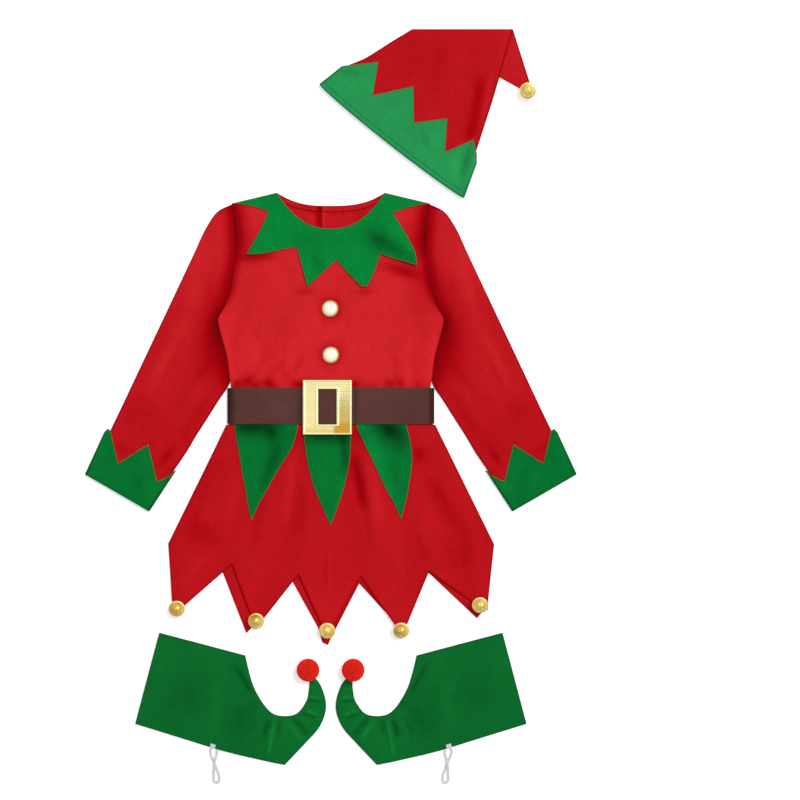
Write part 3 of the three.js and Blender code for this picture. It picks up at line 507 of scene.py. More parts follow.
FLUTES = table(
    "turn wide rise",
    [
        (-0.78, 0.1, 3.6),
        (-0.47, 0.12, 4.6),
        (-0.14, 0.1, 4),
        (0.03, 0.07, 3),
        (0.3, 0.12, 5.2),
        (0.6, 0.1, 4.4),
        (0.82, 0.08, 3.4),
    ],
)
SKIRT_FOLDS = [
    (25, -70, 62, -250, 7, -1.6),
    (38, -80, 80, -240, 9, 0.9),
    (122, -66, 192, -160, 9, -1.3),
    (140, -160, 178, -196, 8, -0.8),
    (186, -170, 200, -280, 9, -1.2),
    (-66, -90, -84, -262, 10, 0.8),
    (-112, -150, -134, -290, 9, -0.9),
    (-160, -80, -205, -260, 11, -0.9),
    (-4, -200, 2, -330, 7, -0.8),
    (-190, -120, -224, -280, 8, 0.7),
]


def skirt_half(y):
    return mix(SKIRT_WAIST_HALF, SKIRT_CORNER_HALF, (BELT_BOTTOM - y) / (BELT_BOTTOM - SKIRT_CORNER_Y))


def flute_at(x, y):
    turn = x / skirt_half(y)
    grow = smooth((BELT_BOTTOM - 8 - y) / 150)
    side = smooth((1 - np.abs(turn)) / 0.12)
    rise = sum(r * bump((turn - at) / w) for at, w, r in zip(*FLUTES.values()))
    return grow * side * np.minimum(CREST_LIMIT, rise)


# Heights of the undersides of the dress's layers
def beside_belt(y):
    below = (y - BELT_BOTTOM + 4 + BELT_REACH) / BELT_REACH
    above = (BELT_TOP + 4 + BELT_REACH - y) / BELT_REACH
    return smooth(below) * smooth(above)


def above_collar_back(y):
    return smooth((y - 160) / 25)


def back_lift(x, y, right=False):
    lift = LIFT["collar_back"] * above_collar_back(y) + LIFT["belt_back"] * beside_belt(y)
    if right:
        lift = lift + LAYER * smooth((LAP_LEFT + LAP_PAST + LAP_RAMP - x) / LAP_RAMP)
    return lift


FRONT_FOLDS = [
    (-128, 16, -92, 62, 5, -1.5),
    (-104, 14, -66, 56, 5, -1.7),
    (-76, 16, -40, 62, 6, -1.5),
    (-60, 12, -52, 50, 4, -1.2),
    (46, 14, 34, 50, 5, -0.8),
    (84, 14, 76, 48, 6, -0.7),
    (122, 14, 128, 54, 6, -0.8),
    (-130, 40, -84, 120, 9, 0.8),
    (-90, 70, -40, 150, 10, -0.7),
    (-150, 60, -120, 150, 9, -0.7),
    (60, 60, 74, 180, 14, 0.6),
    (-40, 140, 20, 180, 12, -0.4),
    (138, 66, 122, 160, 9, -0.8),
    (112, 190, 84, 120, 10, 0.5),
]


def front_lift(x, y):
    over_collar = (LIFT["neck"] - LIFT["middle"]) * above_collar_back(y)
    over_belt = (LIFT["belt"] - LIFT["middle"]) * beside_belt(y)
    middle = LIFT["middle"] + over_collar + over_belt
    inward = smooth((side_at(y, "front") - np.abs(x)) / 30)
    edge = LIFT["edge"] + UNDERARM_RISE * bump((y - UNDERARM_Y) / UNDERARM_WIDE)
    soft = folds(x, y, FRONT_FOLDS) + ripple(x, y) + 0.5
    return mix(edge, middle, inward) + (gather_at(x, y - BELT_TOP) + soft) * inward


def skirt_smooth(x, y):
    press = smooth((y - BELT_BOTTOM + 44) / 40)
    free = smooth((BELT_BOTTOM - y) / 30) * smooth((skirt_half(y) - np.abs(x)) / 20)
    soft = (folds(x, y, SKIRT_FOLDS) + ripple(x, y)) * free
    return mix(LIFT["skirt"], LIFT["belt"], press) + np.maximum(flute_at(x, y) + soft, 0)


def skirt_lift(x, y):
    return skirt_smooth(x, y) + gather_at(x, BELT_BOTTOM - y)


LEAF_FOLDS = [
    (-128, -44, -116, -130, 7, 0.8),
    (-92, -44, -98, -120, 8, -0.9),
    (-58, -44, -84, -96, 6, 0.7),
    (-14, -60, -8, -150, 9, 0.6),
    (20, -56, 12, -120, 7, -0.7),
    (60, -46, 84, -120, 7, 0.8),
    (98, -46, 104, -130, 7, -0.8),
]


def leaf_lift(x, y):
    over_gathers = GATHER_CREST * gather_fade(BELT_BOTTOM - y)
    soft = np.maximum(folds(x, y, LEAF_FOLDS), -0.1) + 0.1
    return skirt_smooth(x, y) + over_gathers + LAYER + EASE + soft


def skirt_back_lift(x, y):
    return LIFT["belt_back"] * beside_belt(y) + BACK_SHARE * flute_at(x, y)


def collar_lift(x, y):
    return front_lift(x, y) + LAYER + 2 * EASE


# Materials
class Nodes:
    """A short way to write a material's nodes."""

    def __init__(self, name):
        self.material = bpy.data.materials.new(name)
        self.material.use_nodes = True
        self.tree = self.material.node_tree
        self.surface = self.tree.nodes["Principled BSDF"]
        self.place = self.add("ShaderNodeTexCoord").outputs["Object"]

    def add(self, kind, settings=None, **inputs):
        node = self.tree.nodes.new(kind)
        for key, value in (settings or {}).items():
            setattr(node, key, value)
        for key, value in inputs.items():
            self.set(node.inputs[key.replace("_", " ")], value)
        return node

    def set(self, socket, value):
        if isinstance(value, bpy.types.NodeSocket):
            self.tree.links.new(value, socket)
        else:
            socket.default_value = value

    def finish(self, **inputs):
        for key, value in inputs.items():
            self.set(self.surface.inputs[key.replace("_", " ")], value)
        return self.material

    def noise(self, scale, detail=3.0, rough=0.6, place=None):
        node = self.add("ShaderNodeTexNoise", Vector=place or self.place, Scale=scale)
        node.inputs["Detail"].default_value = detail
        node.inputs["Roughness"].default_value = rough
        return node.outputs["Fac"]

    def stretched(self, *scale):
        return self.add("ShaderNodeMapping", Vector=self.place, Scale=scale).outputs["Vector"]

    def ranged(self, value, low, high, to_low, to_high):
        node = self.add("ShaderNodeMapRange", Value=value)
        for key, number in zip(("From Min", "From Max", "To Min", "To Max"), (low, high, to_low, to_high)):
            node.inputs[key].default_value = number
        return node.outputs["Result"]

    def math(self, kind, a, b):
        node = self.add("ShaderNodeMath", {"operation": kind})
        self.set(node.inputs[0], a)
        self.set(node.inputs[1], b)
        return node.outputs[0]

    def product(self, *values):
        total = values[0]
        for value in values[1:]:
            total = self.math("MULTIPLY", total, value)
        return total

    def blend(self, share, a, b):
        node = self.add("ShaderNodeMix", {"data_type": "RGBA"})
        self.set(node.inputs[0], share)
        self.set(node.inputs[6], a)
        self.set(node.inputs[7], b)
        return node.outputs[2]

    def shaded(self, colour, value, saturation=1.0):
        node = self.add("ShaderNodeHueSaturation", Color=colour, Value=value, Saturation=saturation)
        return node.outputs["Color"]

    def read(self, name):
        return self.add("ShaderNodeAttribute", {"attribute_name": name}).outputs["Fac"]

    def bump(self, height, distance, strength=1.0):
        node = self.add("ShaderNodeBump", Height=height, Distance=distance, Strength=strength)
        return node.outputs["Normal"]


def rgb(red, green, blue):
    """A colour given as it shows on a screen, from 0 to 255."""
    def line(c):
        c /= 255
        return c / 12.92 if c <= 0.04045 else ((c + 0.055) / 1.055) ** 2.4

    return (line(red), line(green), line(blue), 1)


OLIVE = rgb(118, 104, 52)


def felt(name, colour, deepen=0.0, raw=None):
    """Brushed felt: a soft nap over a fine knit, with the mesh's painted light and shade on it. Its painted
    dark places are purer in colour.
    """
    n = Nodes(name)
    cloudy = n.product(
        n.ranged(n.noise(14, 3), 0.3, 0.7, 0.95, 1.05), n.ranged(n.noise(75, 3), 0.3, 0.7, 0.965, 1.035)
    )
    brushed = n.ranged(n.noise(230, 4, 0.65, n.stretched(1, 0.4, 1)), 0.25, 0.75, 0.915, 1.08)
    nap = n.noise(1100, 3, 0.7)
    speck = n.ranged(nap, 0.25, 0.75, 0.9, 1.09)
    # Painted light and shade from the mesh, times the cloth's own random unevenness
    tone = n.read("tone")
    value = n.product(tone, cloudy, brushed, speck)
    colour = n.shaded(colour, value, n.ranged(tone, 0.5, 1, 1 + deepen, 1))
    if raw:
        ragged = n.math("ADD", n.read("edge"), n.ranged(n.noise(420, 2), 0.3, 0.7, -0.45, 0.45))
        colour = n.blend(n.ranged(ragged, 0.6, 1.25, 1, 0), colour, n.shaded(raw, speck))
    knit = n.add("ShaderNodeTexVoronoi", Vector=n.stretched(1, 0.6, 1), Scale=900).outputs["Distance"]
    height = n.math("ADD", nap, n.math("MULTIPLY", knit, 0.5))
    return n.finish(
        Base_Color=colour,
        Roughness=0.95,
        Specular_IOR_Level=0.05,
        Sheen_Weight=0.03,
        Sheen_Roughness=0.4,
        Normal=n.bump(height, 0.00045, 0.5),
    )


def belt_cloth():
    """Dark brown felt with a close cross weave."""
    n = Nodes("belt_brown")
    across = n.add("ShaderNodeTexWave", {"bands_direction": "X"}, Vector=n.place, Scale=420).outputs["Fac"]
    down = n.add("ShaderNodeTexWave", {"bands_direction": "Y"}, Vector=n.place, Scale=420).outputs["Fac"]
    weave = n.product(across, down)
    # Painted shade from the mesh, times the cloth's own unevenness and weave
    value = n.product(
        n.read("tone"),
        n.ranged(n.noise(30, 3), 0.3, 0.7, 0.92, 1.07),
        n.ranged(n.noise(900, 3), 0.3, 0.7, 0.88, 1.12),
        n.ranged(n.noise(360, 3), 0.3, 0.7, 0.91, 1.1),
        n.ranged(weave, 0, 1, 0.94, 1.06),
    )
    height = n.math("ADD", weave, n.noise(1300, 2))
    return n.finish(
        Base_Color=n.shaded(rgb(90, 55, 50), value),
        Roughness=0.85,
        Specular_IOR_Level=0.1,
        Sheen_Weight=0.04,
        Normal=n.bump(height, 0.0003, 0.5),
    )


def metal(name, pale, deep, roughness, wear, metallic=1.0):
    """Plated metal or plastic with faint clouds and small scratches, deeper in colour where its mesh says so:
    painted shade and reflection on the buckle and bells, and deeper towards the rim on the buttons.
    """
    n = Nodes(name)
    cloudy = n.noise(160, 3)
    scratch = n.noise(700, 2, 0.5, n.stretched(1, 6, 1))
    value = n.product(
        n.ranged(cloudy, 0.3, 0.7, 1 - wear, 1 + wear), n.ranged(scratch, 0.3, 0.7, 0.97, 1.03)
    )
    return n.finish(
        Base_Color=n.shaded(n.blend(n.read("deep"), pale, deep), value),
        Metallic=metallic,
        Roughness=n.ranged(cloudy, 0.3, 0.7, roughness * 0.8, roughness * 1.3),
        Normal=n.bump(scratch, 0.00006, 0.3),
    )


def yarn():
    n = Nodes("pompom_red")
    # Painted shade from the mesh: darker towards the fibres' roots and on the core, with random fibre tones
    value = n.product(n.read("tone"), n.ranged(n.noise(500, 2), 0.3, 0.7, 0.9, 1.1))
    return n.finish(
        Base_Color=n.shaded(rgb(229, 43, 29), value),
        Roughness=0.9,
        Specular_IOR_Level=0.1,
        Sheen_Weight=0.06,
    )


def thread(name, colour):
    n = Nodes(name)
    twist = n.noise(2500, 2)
    return n.finish(
        Base_Color=n.shaded(colour, n.ranged(twist, 0.3, 0.7, 0.85, 1.1)),
        Roughness=0.8,
        Sheen_Weight=0.2,
        Normal=n.bump(twist, 0.0001, 0.5),
    )


def elastic_cloth():
    """White braided elastic with ribs along it, which the band's own ridges carry too."""
    n = Nodes("elastic_white")
    wave = n.add("ShaderNodeTexWave", {"bands_direction": "DIAGONAL"}, Vector=n.place, Scale=700)
    braid = wave.outputs["Fac"]
    value = n.product(n.ranged(braid, 0, 1, 0.9, 1.03), n.ranged(n.noise(200, 2), 0.3, 0.7, 0.94, 1.02))
    return n.finish(
        Base_Color=n.shaded(rgb(214, 210, 215), value),
        Roughness=0.8,
        Specular_IOR_Level=0.1,
        Normal=n.bump(braid, 0.0002, 0.4),
    )


RED = felt("felt_red", rgb(203, 33, 39), deepen=0.034)
GREEN = felt("felt_green", rgb(5, 126, 52), raw=OLIVE)
MINT = felt("felt_mint", rgb(38, 146, 79), raw=OLIVE)
PINE = felt("felt_pine", rgb(9, 102, 40))
BROWN = belt_cloth()
BUCKLE_GOLD = metal("buckle_gold", rgb(232, 228, 172), rgb(184, 144, 30), 0.36, 0.04, metallic=0.55)
BELL_GOLD = metal("bell_gold", rgb(250, 222, 128), rgb(188, 132, 16), 0.4, 0.05, metallic=0.4)
PALE_GOLD = metal("button_gold", rgb(252, 243, 220), rgb(186, 140, 62), 0.3, 0.02, metallic=0.05)
YARN = yarn()
RED_THREAD = thread("thread_red", rgb(176, 24, 30))
GREEN_THREAD = thread("thread_green", rgb(26, 118, 62))
ELASTIC = elastic_cloth()


def cut_area(piece):
    """Area of a piece's cloth in plan, each of its layers counted: the faces that look up."""
    return sum(face.area * face.normal.z for face in piece.data.polygons if face.normal.z > 0)


def place(piece, node, slot, rests_on=()):
    low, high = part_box(node)
    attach(piece, "root")
    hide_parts(node)
    if rests_on:
        list(rests_on)
        cut_area(piece)
    return piece


def trim(piece):
    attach(piece, "root")
    return piece


def stitches(name, line, material, long=3.0, gap=0.9, radius=0.28):
    """A row of thread stitches along a line of points."""
    line = np.asarray(line, float)
    run = np.concatenate([[0], np.cumsum(np.linalg.norm(np.diff(line, axis=0), axis=1))])
    count = int(run[-1] // (long + gap))
    angles = np.arange(6) * math.pi / 3
    section = np.stack([np.cos(angles), np.sin(angles)], -1)
    points, faces, used = [], [], 0
    for k in range(count):
        at = k * (long + gap) + np.array([0, 0.12, 0.5, 0.88, 1]) * long
        middle = np.stack([np.interp(at, run, line[:, n]) for n in range(3)], -1)
        middle[:, 2] += radius * np.array([-1.2, 0.1, 0.5, 0.1, -1.2])
        along = middle[-1] - middle[0]
        along /= np.linalg.norm(along)
        up = np.array([0, 0, 1.0])
        across = np.cross(along, up)
        sizes = radius * np.array([0.45, 0.9, 1, 0.9, 0.45])
        grid = middle[:, None] + sizes[:, None, None] * (
            section[None, :, :1] * across + section[None, :, 1:] * up
        )
        bar, bar_faces = closed_bar(grid)
        points.append(bar)
        faces.append(bar_faces + used)
        used += len(bar)
    piece = make(name, np.concatenate(points), np.concatenate(faces), material)
    return trim(piece)


# Bodice
# Painted light and shade on the front: shadows under the collar's points, dark dips of the gathers above the
# belt, shade towards the armholes
FRONT_SHADING = [
    (0, 90, 60, 90, 0, 0.03),
    (-100, 140, 40, 60, 0, -0.03),
    (140, 160, 26, 50, 0, -0.14),
    (130, 225, 30, 40, 0, -0.16),
    (-130, 225, 26, 40, 0, -0.1),
    (104, 188, 32, 9, -16, -0.3),
    (-110, 208, 26, 7, 3, -0.3),
    (-38, 156, 16, 6, 0, -0.16),
    (50, 156, 16, 6, 0, -0.16),
    (-141, 17, 7, 7, 0, -0.34),
    (-126, 22, 9, 10, -30, -0.34),
    (-112, 16, 8, 7, 0, -0.3),
    (-92, 18, 10, 7, -14, -0.42),
    (-47, 17, 12, 7, -6, -0.42),
    (-30, 20, 6, 7, 0, -0.16),
    (34, 17, 10, 7, 0, -0.4),
    (60, 15, 10, 5, 0, -0.16),
    (88, 18, 9, 7, 10, -0.28),
    (104, 20, 7, 9, 14, -0.26),
    (130, 17, 8, 6, 10, -0.2),
]
# Painted lighter and darker streaks along the front's folds
FRONT_STREAKS = [
    (-160, 110, -144, 12, 4, 0.14),
    (158, 104, 146, 14, 4, 0.14),
    (-144, 96, -96, 36, 5, 0.05),
    (-124, 110, -74, 44, 5, -0.05),
    (-57, 76, -58, 20, 4, 0.07),
    (-72, 66, -70, 18, 3, -0.08),
    (40, 70, 44, 20, 5, 0.05),
    (74, 76, 78, 18, 4, 0.05),
    (116, 90, 114, 20, 5, 0.06),
    (96, 70, 96, 18, 3, -0.07),
    (-22, 250, -24, 60, 8, 0.03),
    (12, 250, 10, 40, 3, -0.03),
]
# Painted shade that follows the height of the folds and ripples, on every piece
FOLD_HEIGHT_SHADE = 0.05
BUTTON_SHADE = {"reach": 15, "amount": 0.5}
FRONT_RIM_SHADE = 0.94


def armhole_shade(x, y):
    """Shade of the front along its armholes: close to the edge, and wide below the shoulder."""
    inward = side_at(y, "front") - np.abs(x)
    close = 0.34 * bump(inward / 8) * smooth((y - 110) / 60)
    return close + 0.27 * bump((inward - 5) / 15) * smooth((y - 196) / 40)


def bodice_front():
    corner = NECK[0] / SHOULDER[0]
    across, down = GRID["front"]
    breaks = divided(np.array([-1, -corner, 0, corner, 1]), across)
    u = with_rims(breaks, SHOULDER[0])[None, :]
    v = shares(front_neck(u[0] * SHOULDER[0]) - WAIST_Y, down)
    x = u * side_at(mix(WAIST_Y, SHOULDER[1], v), "front")
    y = mix(WAIST_Y, front_neck(u * SHOULDER[0]), v)
    tone = patches(x, y, FRONT_SHADING) + folds(x, y, FRONT_STREAKS)
    tone = tone + FOLD_HEIGHT_SHADE * (folds(x, y, FRONT_FOLDS) + ripple(x, y)) - armhole_shade(x, y)
    for button_y in BUTTONS_Y:
        tone = tone - BUTTON_SHADE["amount"] * bump(np.hypot(x, y - button_y) / BUTTON_SHADE["reach"])
    height = front_lift(x, y)
    piece = sheet_mesh("felt_bodice_front", x, y, height, RED, tone=tone, rim=FRONT_RIM_SHADE)
    place(piece, "bodice_front", "red_cloth", ["bodice_back_left", "bodice_back_right"])


# Painted light and shade inside the neck: dark beside the lap and a pale line along the right band's raised
# edge, with darker lines along the fastener's stitching
NECK_STREAKS = {
    "left": [(-18, 300, -18, 230, 4.5, -0.3), (-30, 276, -30, 240, 6, 0.06), (-60, 300, -20, 272, 5, -0.1)],
    "right": [
        (-11.2, 300, -11.2, 240, 1.4, 0.14),
        (-14, 300, -14, 240, 1.6, -0.1),
        (5.7, 288, 5.7, 268, 1, -0.16),
        (18.4, 288, 18.4, 268, 1, -0.14),
        (-14, 271.4, 24, 271.4, 1, -0.1),
        (30, 268, 58, 280, 5, -0.1),
    ],
}


def bodice_back(side):
    left = side < 0
    word = side_word(side)
    inner = LAP_LEFT if left else LAP_RIGHT
    outer = side * SIDE["back"][-1]
    across, down = GRID["back"]
    breaks = divided(np.array([outer, side * NECK[0], inner]), across)
    tops = with_rims(breaks * -side, 1.0) * -side
    share = (tops - outer) / (inner - outer)
    v = shares(back_neck(tops) - WAIST_Y, down)
    half = side * side_at(mix(WAIST_Y, SHOULDER[1], v), "back")
    x = mix(half, inner, share[None, :])
    y = mix(WAIST_Y, back_neck(tops)[None, :], v)
    tone = PIECE_SHADE["back"] + folds(x, y, NECK_STREAKS[word])
    piece = sheet_mesh(f"felt_bodice_back_{word}", x, y, back_lift(x, y, not left), RED, tone=tone)
    place(piece, f"bodice_back_{word}", "red_cloth", [f"collar_back_{word}", "floor"])


def neckband(side):
    left = side < 0
    word = side_word(side)
    ends = np.array([-74, LAP_RIGHT - 0.4]) if left else np.array([LAP_RIGHT + 0.1, 74])
    across, down = GRID["neckband"]
    tops = with_rims(divided(ends, across), 1.0)
    v = shares(np.full(tops.shape, NECKBAND_WIDTH), down)
    x = np.broadcast_to(tops[None, :], v.shape)
    y = back_neck(tops)[None, :] - NECKBAND_WIDTH * (1 - v)
    lift = back_lift(x, y, not left) + LAYER + EASE
    # Painted shade darker along the band's lower edge
    tone = PIECE_SHADE["back"] - 0.06 * (1 - smooth(v * NECKBAND_WIDTH / 1.5)) + folds(x, y, NECK_STREAKS[word])
    piece = sheet_mesh(f"felt_neckband_{word}", x, y, lift, RED, wall=BAND_WALL, tone=tone)
    place(piece, f"neckband_{word}", "red_cloth", [f"bodice_back_{word}"])
    run = np.linspace(ends[0] + 2, ends[1] - 2, 60)
    low = back_neck(run) - NECKBAND_WIDTH + 1.4
    height = back_lift(run, low, not left) + LAYER + EASE + BAND_WALL
    line = np.stack([run, low, height], -1)
    stitches(f"neckband_stitches_{word}", line, RED_THREAD, 2.6, 0.8, 0.2)


COLLAR_FRONT = table(
    "neck x y lift sag",
    [
        (-1, -148.3, 287.6, 0, -2.5),
        (-0.93, -93.3, 275.6, 0, -1.5),
        (-0.8, -126.3, 212.3, 1, 1.6),
        (-0.62, -92.1, 214.2, 0.6, 0),
        (-0.42, -51, 222.8, 0, 0),
        (-0.28, -35, 162.5, 1, 0),
        (0.1, 8.4, 203.1, 0, 1),
        (0.38, 45.9, 163.5, 1, 0),
        (0.44, 54.5, 163.5, 1, 2),
        (0.6, 74.1, 212.1, 0.4, 0.8),
        (0.76, 129, 195.6, 3, 1),
        (0.82, 125, 219.6, 2, 1),
        (0.93, 92.9, 273.2, 0, -2),
        (1, 148.3, 287.6, 0, 0),
    ],
)
COLLAR_BACK = table(
    "neck x y lift",
    [
        (1, 138, 290, 0),
        (0.85, 95, 262, 0),
        (0.7, 108, 205, 0),
        (0.42, 58, 228, 0),
        (0.25, 42, 193, 0),
        (0.003, 0.2, 222, 0),
    ],
)
# Painted light and shade on the collar: dark where its right side lifts off the bodice, lighter on the tops
# of its folds
COLLAR_SHADING = [
    (70, 235, 20, 15, -30, -0.46),
    (98, 217, 28, 12, -28, -0.36),
    (122, 203, 9, 9, -30, -0.16),
    (-30, 234, 24, 14, 0, -0.16),
    (-20, 198, 10, 26, 22, -0.2),
    (-34, 180, 8, 14, 0, 0.06),
    (-110, 222, 20, 10, 0, -0.05),
    (96, 246, 16, 10, -30, 0.06),
    (-5, 214, 6, 16, 0, 0.06),
    (44, 176, 10, 14, 0, 0.05),
    (104, 266, 30, 6, 15, -0.06),
]
COLLAR_FOLDS = [
    (66, 246, 108, 204, 9, -1.1),
    (88, 254, 124, 214, 7, 0.9),
    (-70, 250, -112, 222, 10, 0.7),
    (-34, 236, -34, 178, 8, 0.6),
    (30, 232, 46, 180, 8, 0.6),
    (0, 240, 8, 208, 8, -0.4),
]


def collar(name, node, data, neckline, under, rests_on, side=1, tones=()):
    across, down = GRID["collar"]
    places = with_rims(divided(np.arange(len(data["neck"]), dtype=float), across), SPAN)
    neck = NECK[0] * blended(data, places, "neck")
    edge_x, edge_y = cornered(data, places, ("x", "y"))
    lift = blended(data, places, "lift")
    v = shares(np.hypot(edge_x - neck, edge_y - neckline(neck)), down)
    x = side * mix(neck[None, :], edge_x[None, :], v)
    y = mix(neckline(neck)[None, :], edge_y[None, :], v)
    soft = 0
    if tones:
        soft = (folds(x, y, COLLAR_FOLDS) + 0.9 * smooth(v / 0.3) * np.minimum(lift, 1)) * smooth(v * 3)
    height = under(x, y) + lift[None, :] * v * v + np.maximum(soft, 0)
    tone = patches(x, y, tones) + FOLD_HEIGHT_SHADE * soft
    piece = sheet_mesh(name, x, y, height, GREEN, tone=tone)
    return place(piece, node, "green_cloth", rests_on)


# Sleeves and cuffs
SLEEVE = table(
    "out_x out_y in_x in_y lift edge puff bow",
    [
        (143.5, 289, 162.5, 116, 0, 0.6, 0, 14.5),
        (168.9, 276.6, 159.9, 100, 0, 0.6, 0.9, 9),
        (186.9, 251.7, 157.7, 82, 0, 0.6, 1.8, 5),
        (205, 213, 151.9, 55, 0, 0.6, 2.6, 2),
        (230, 160, 150, 26, 0, 0.6, 2.6, 0),
        (262, 92.2, 172, -13, 0, 1, 2.6, 0),
        (298, 16, 203, -62, 0, 1, 2.4, 0),
        (312, -14, 216, -84, 1, 1, 1.2, 0),
        (322.5, -36, 226, -99, 1.9, 1, 0, 0),
        (359.2, -112.7, 272.3, -163.1, 1.9, 1, 0, 0),
    ],
)
SLEEVE_FOLDS = [
    (176, 262, 182, 170, 9, -0.8),
    (196, 220, 206, 120, 12, 0.7),
    (170, 90, 214, 40, 9, -0.8),
    (188, 60, 236, -10, 10, 0.6),
    (214, 30, 262, -60, 9, -0.7),
    (250, 60, 290, -20, 10, 0.6),
    (160, 60, 196, 96, 8, -0.7),
]
# Painted light and shade on the sleeves, along their folds and beside the bodice
SLEEVE_SHADING = [
    (172, 96, 12, 50, 8, -0.2),
    (166, 50, 12, 24, 0, -0.12),
    (188, 80, 14, 40, 16, -0.1),
    (208, 140, 12, 60, 20, 0.07),
    (240, 60, 14, 50, 28, 0.06),
    (196, 30, 8, 40, 34, -0.08),
    (288, -20, 22, 12, 28, -0.06),
    (202, -30, 7, 50, 34, -0.06),
    (246, -90, 5, 16, 34, -0.2),
    (312, -78, 16, 5, 28, -0.1),
    (262, 70, 6, 60, 28, -0.06),
]
# Painted lighter and darker streaks along the sleeves' folds
SLEEVE_STREAKS = [
    (190, 250, 214, 120, 6, 0.05),
    (180, 200, 186, 120, 6, -0.05),
    (214, 100, 262, 0, 5, -0.06),
    (226, 100, 276, 0, 5, 0.06),
    (190, 30, 236, -60, 5, 0.05),
    (300, 10, 250, -24, 4, -0.05),
]
# How far the bodice's shade reaches over the sleeve, wide and close
SLEEVE_SHADE = {"wide": (34, 0.13), "close": (12, 0.36)}
# Painted light on the sleeve's upper part, away from the bodice
SLEEVE_LIGHT = 0.1


def smooth_rows(data, row, names):
    at = np.arange(len(data[names[0]]), dtype=float)
    return [curve(row, at, data[n]) for n in names]


def sleeve(side):
    word = side_word(side)

    def plan(v, f):
        out_x, out_y, in_x, in_y, bow = smooth_rows(SLEEVE, v, ("out_x", "out_y", "in_x", "in_y", "bow"))
        pull = bow * np.maximum(0, np.sin(np.pi * f)) ** 0.65
        return side * (mix(out_x, in_x, f) - pull), mix(out_y, in_y, f)

    def gap(v, f):
        edge, puff = smooth_rows(SLEEVE, v, ("edge", "puff"))
        x, y = plan(v, f)
        round_top = np.maximum(0, np.sin(np.pi * f)) ** 0.7 * smooth((1 - f) / 0.35)
        soft = folds(side * x, y, SLEEVE_FOLDS) * round_top * np.minimum(puff, 1)
        return edge + puff * round_top + np.maximum(soft, -puff)

    def tone(x, y):
        away = np.maximum(side * x - side_at(y, "front"), 0)
        wide, close = (amount * bump(away / reach) for reach, amount in SLEEVE_SHADE.values())
        shade = (wide * smooth((230 - y) / 80) + close) * smooth((y + 30) / 60)
        shade = shade - SLEEVE_LIGHT * smooth(away / 24) * smooth((y - 130) / 80)
        # Painted shade darker towards the sleeve's lower end
        shade = shade + 0.08 * smooth((20 - y) / 60)
        folded = folds(side * x, y, SLEEVE_STREAKS) + FOLD_HEIGHT_SHADE * ripple(x * 1.3, y * 0.8)
        return PIECE_SHADE["sleeve"] * (patches(side * x, y, SLEEVE_SHADING) + folded - shade)

    def lift(v):
        return blended(SLEEVE, v, "lift")

    rows, columns = GRID["sleeve"]
    along = divided(np.arange(len(SLEEVE["lift"]), dtype=float), rows)
    across = margin_shares(plan, columns)
    piece = tube_mesh(f"felt_sleeve_{word}", plan, along, across, lift, gap, RED, tone)
    place(piece, f"sleeve_{word}", "red_cloth", ["floor"])


CUFF = table(
    "f x y",
    [
        (0, 339.3, -54.6),
        (0.06, 333.8, -49),
        (0.1, 329, -53.6),
        (0.3, 317.6, -100.2),
        (0.53, 272.9, -72),
        (0.86, 259.6, -127.4),
        (0.92, 241, -119.2),
        (0.955, 236.1, -113),
        (1, 231, -110.8),
    ],
)
CUFF_HEM = {"ends": (368, -116.9, 271.5, -172.8), "bow": 0, "gap": 4.8, "margin": 0.045}
# Painted lighter and darker places on the cuffs
CUFF_SHADING = [
    (330, -90, 12, 30, 60, -0.08),
    (346, -84, 10, 14, 30, 0.08),
    (288, -130, 8, 26, -20, -0.14),
    (306, -118, 14, 12, 0, 0.08),
    (262, -138, 12, 12, 0, 0.1),
    (250, -122, 10, 8, 30, -0.08),
    (276, -100, 10, 14, 20, 0.06),
]
BRIM = table(
    "f x y",
    [
        (0, 15.8, 493.2),
        (0.1, 43.7, 496.6),
        (0.18, 71.7, 500),
        (0.267, 63, 449.7),
        (0.41, 123.9, 463.4),
        (0.535, 124.7, 408.6),
        (0.66, 174.5, 415.5),
        (0.765, 171.2, 365.1),
        (0.86, 213.5, 383.7),
        (0.93, 218.4, 362.6),
        (1, 218.4, 347.7),
    ],
)
BRIM_HEM = {"ends": (-17.1, 467.1, 199.8, 296.7), "bow": 6.6, "gap": 4.9, "margin": 0.02}
# Painted light and shade on the brim: a dark fold at its right end, lighter and darker bands along it
BRIM_SHADING = [
    (203, 350, 6, 26, -14, -0.36),
    (184, 346, 8, 16, -20, 0.08),
    (30, 484, 16, 6, -8, -0.16),
    (24, 468, 18, 7, -30, 0.08),
    (64, 458, 26, 9, -38, 0.09),
    (84, 442, 20, 7, -38, -0.07),
    (108, 430, 16, 14, -30, 0.06),
    (141, 385, 5, 16, 24, -0.2),
    (122, 398, 10, 18, 0, -0.08),
    (158, 380, 8, 16, 0, 0.07),
    (190, 334, 12, 18, -14, 0.1),
    (150, 352, 30, 6, -38, 0.06),
]
HEM_SEAM = 7.4


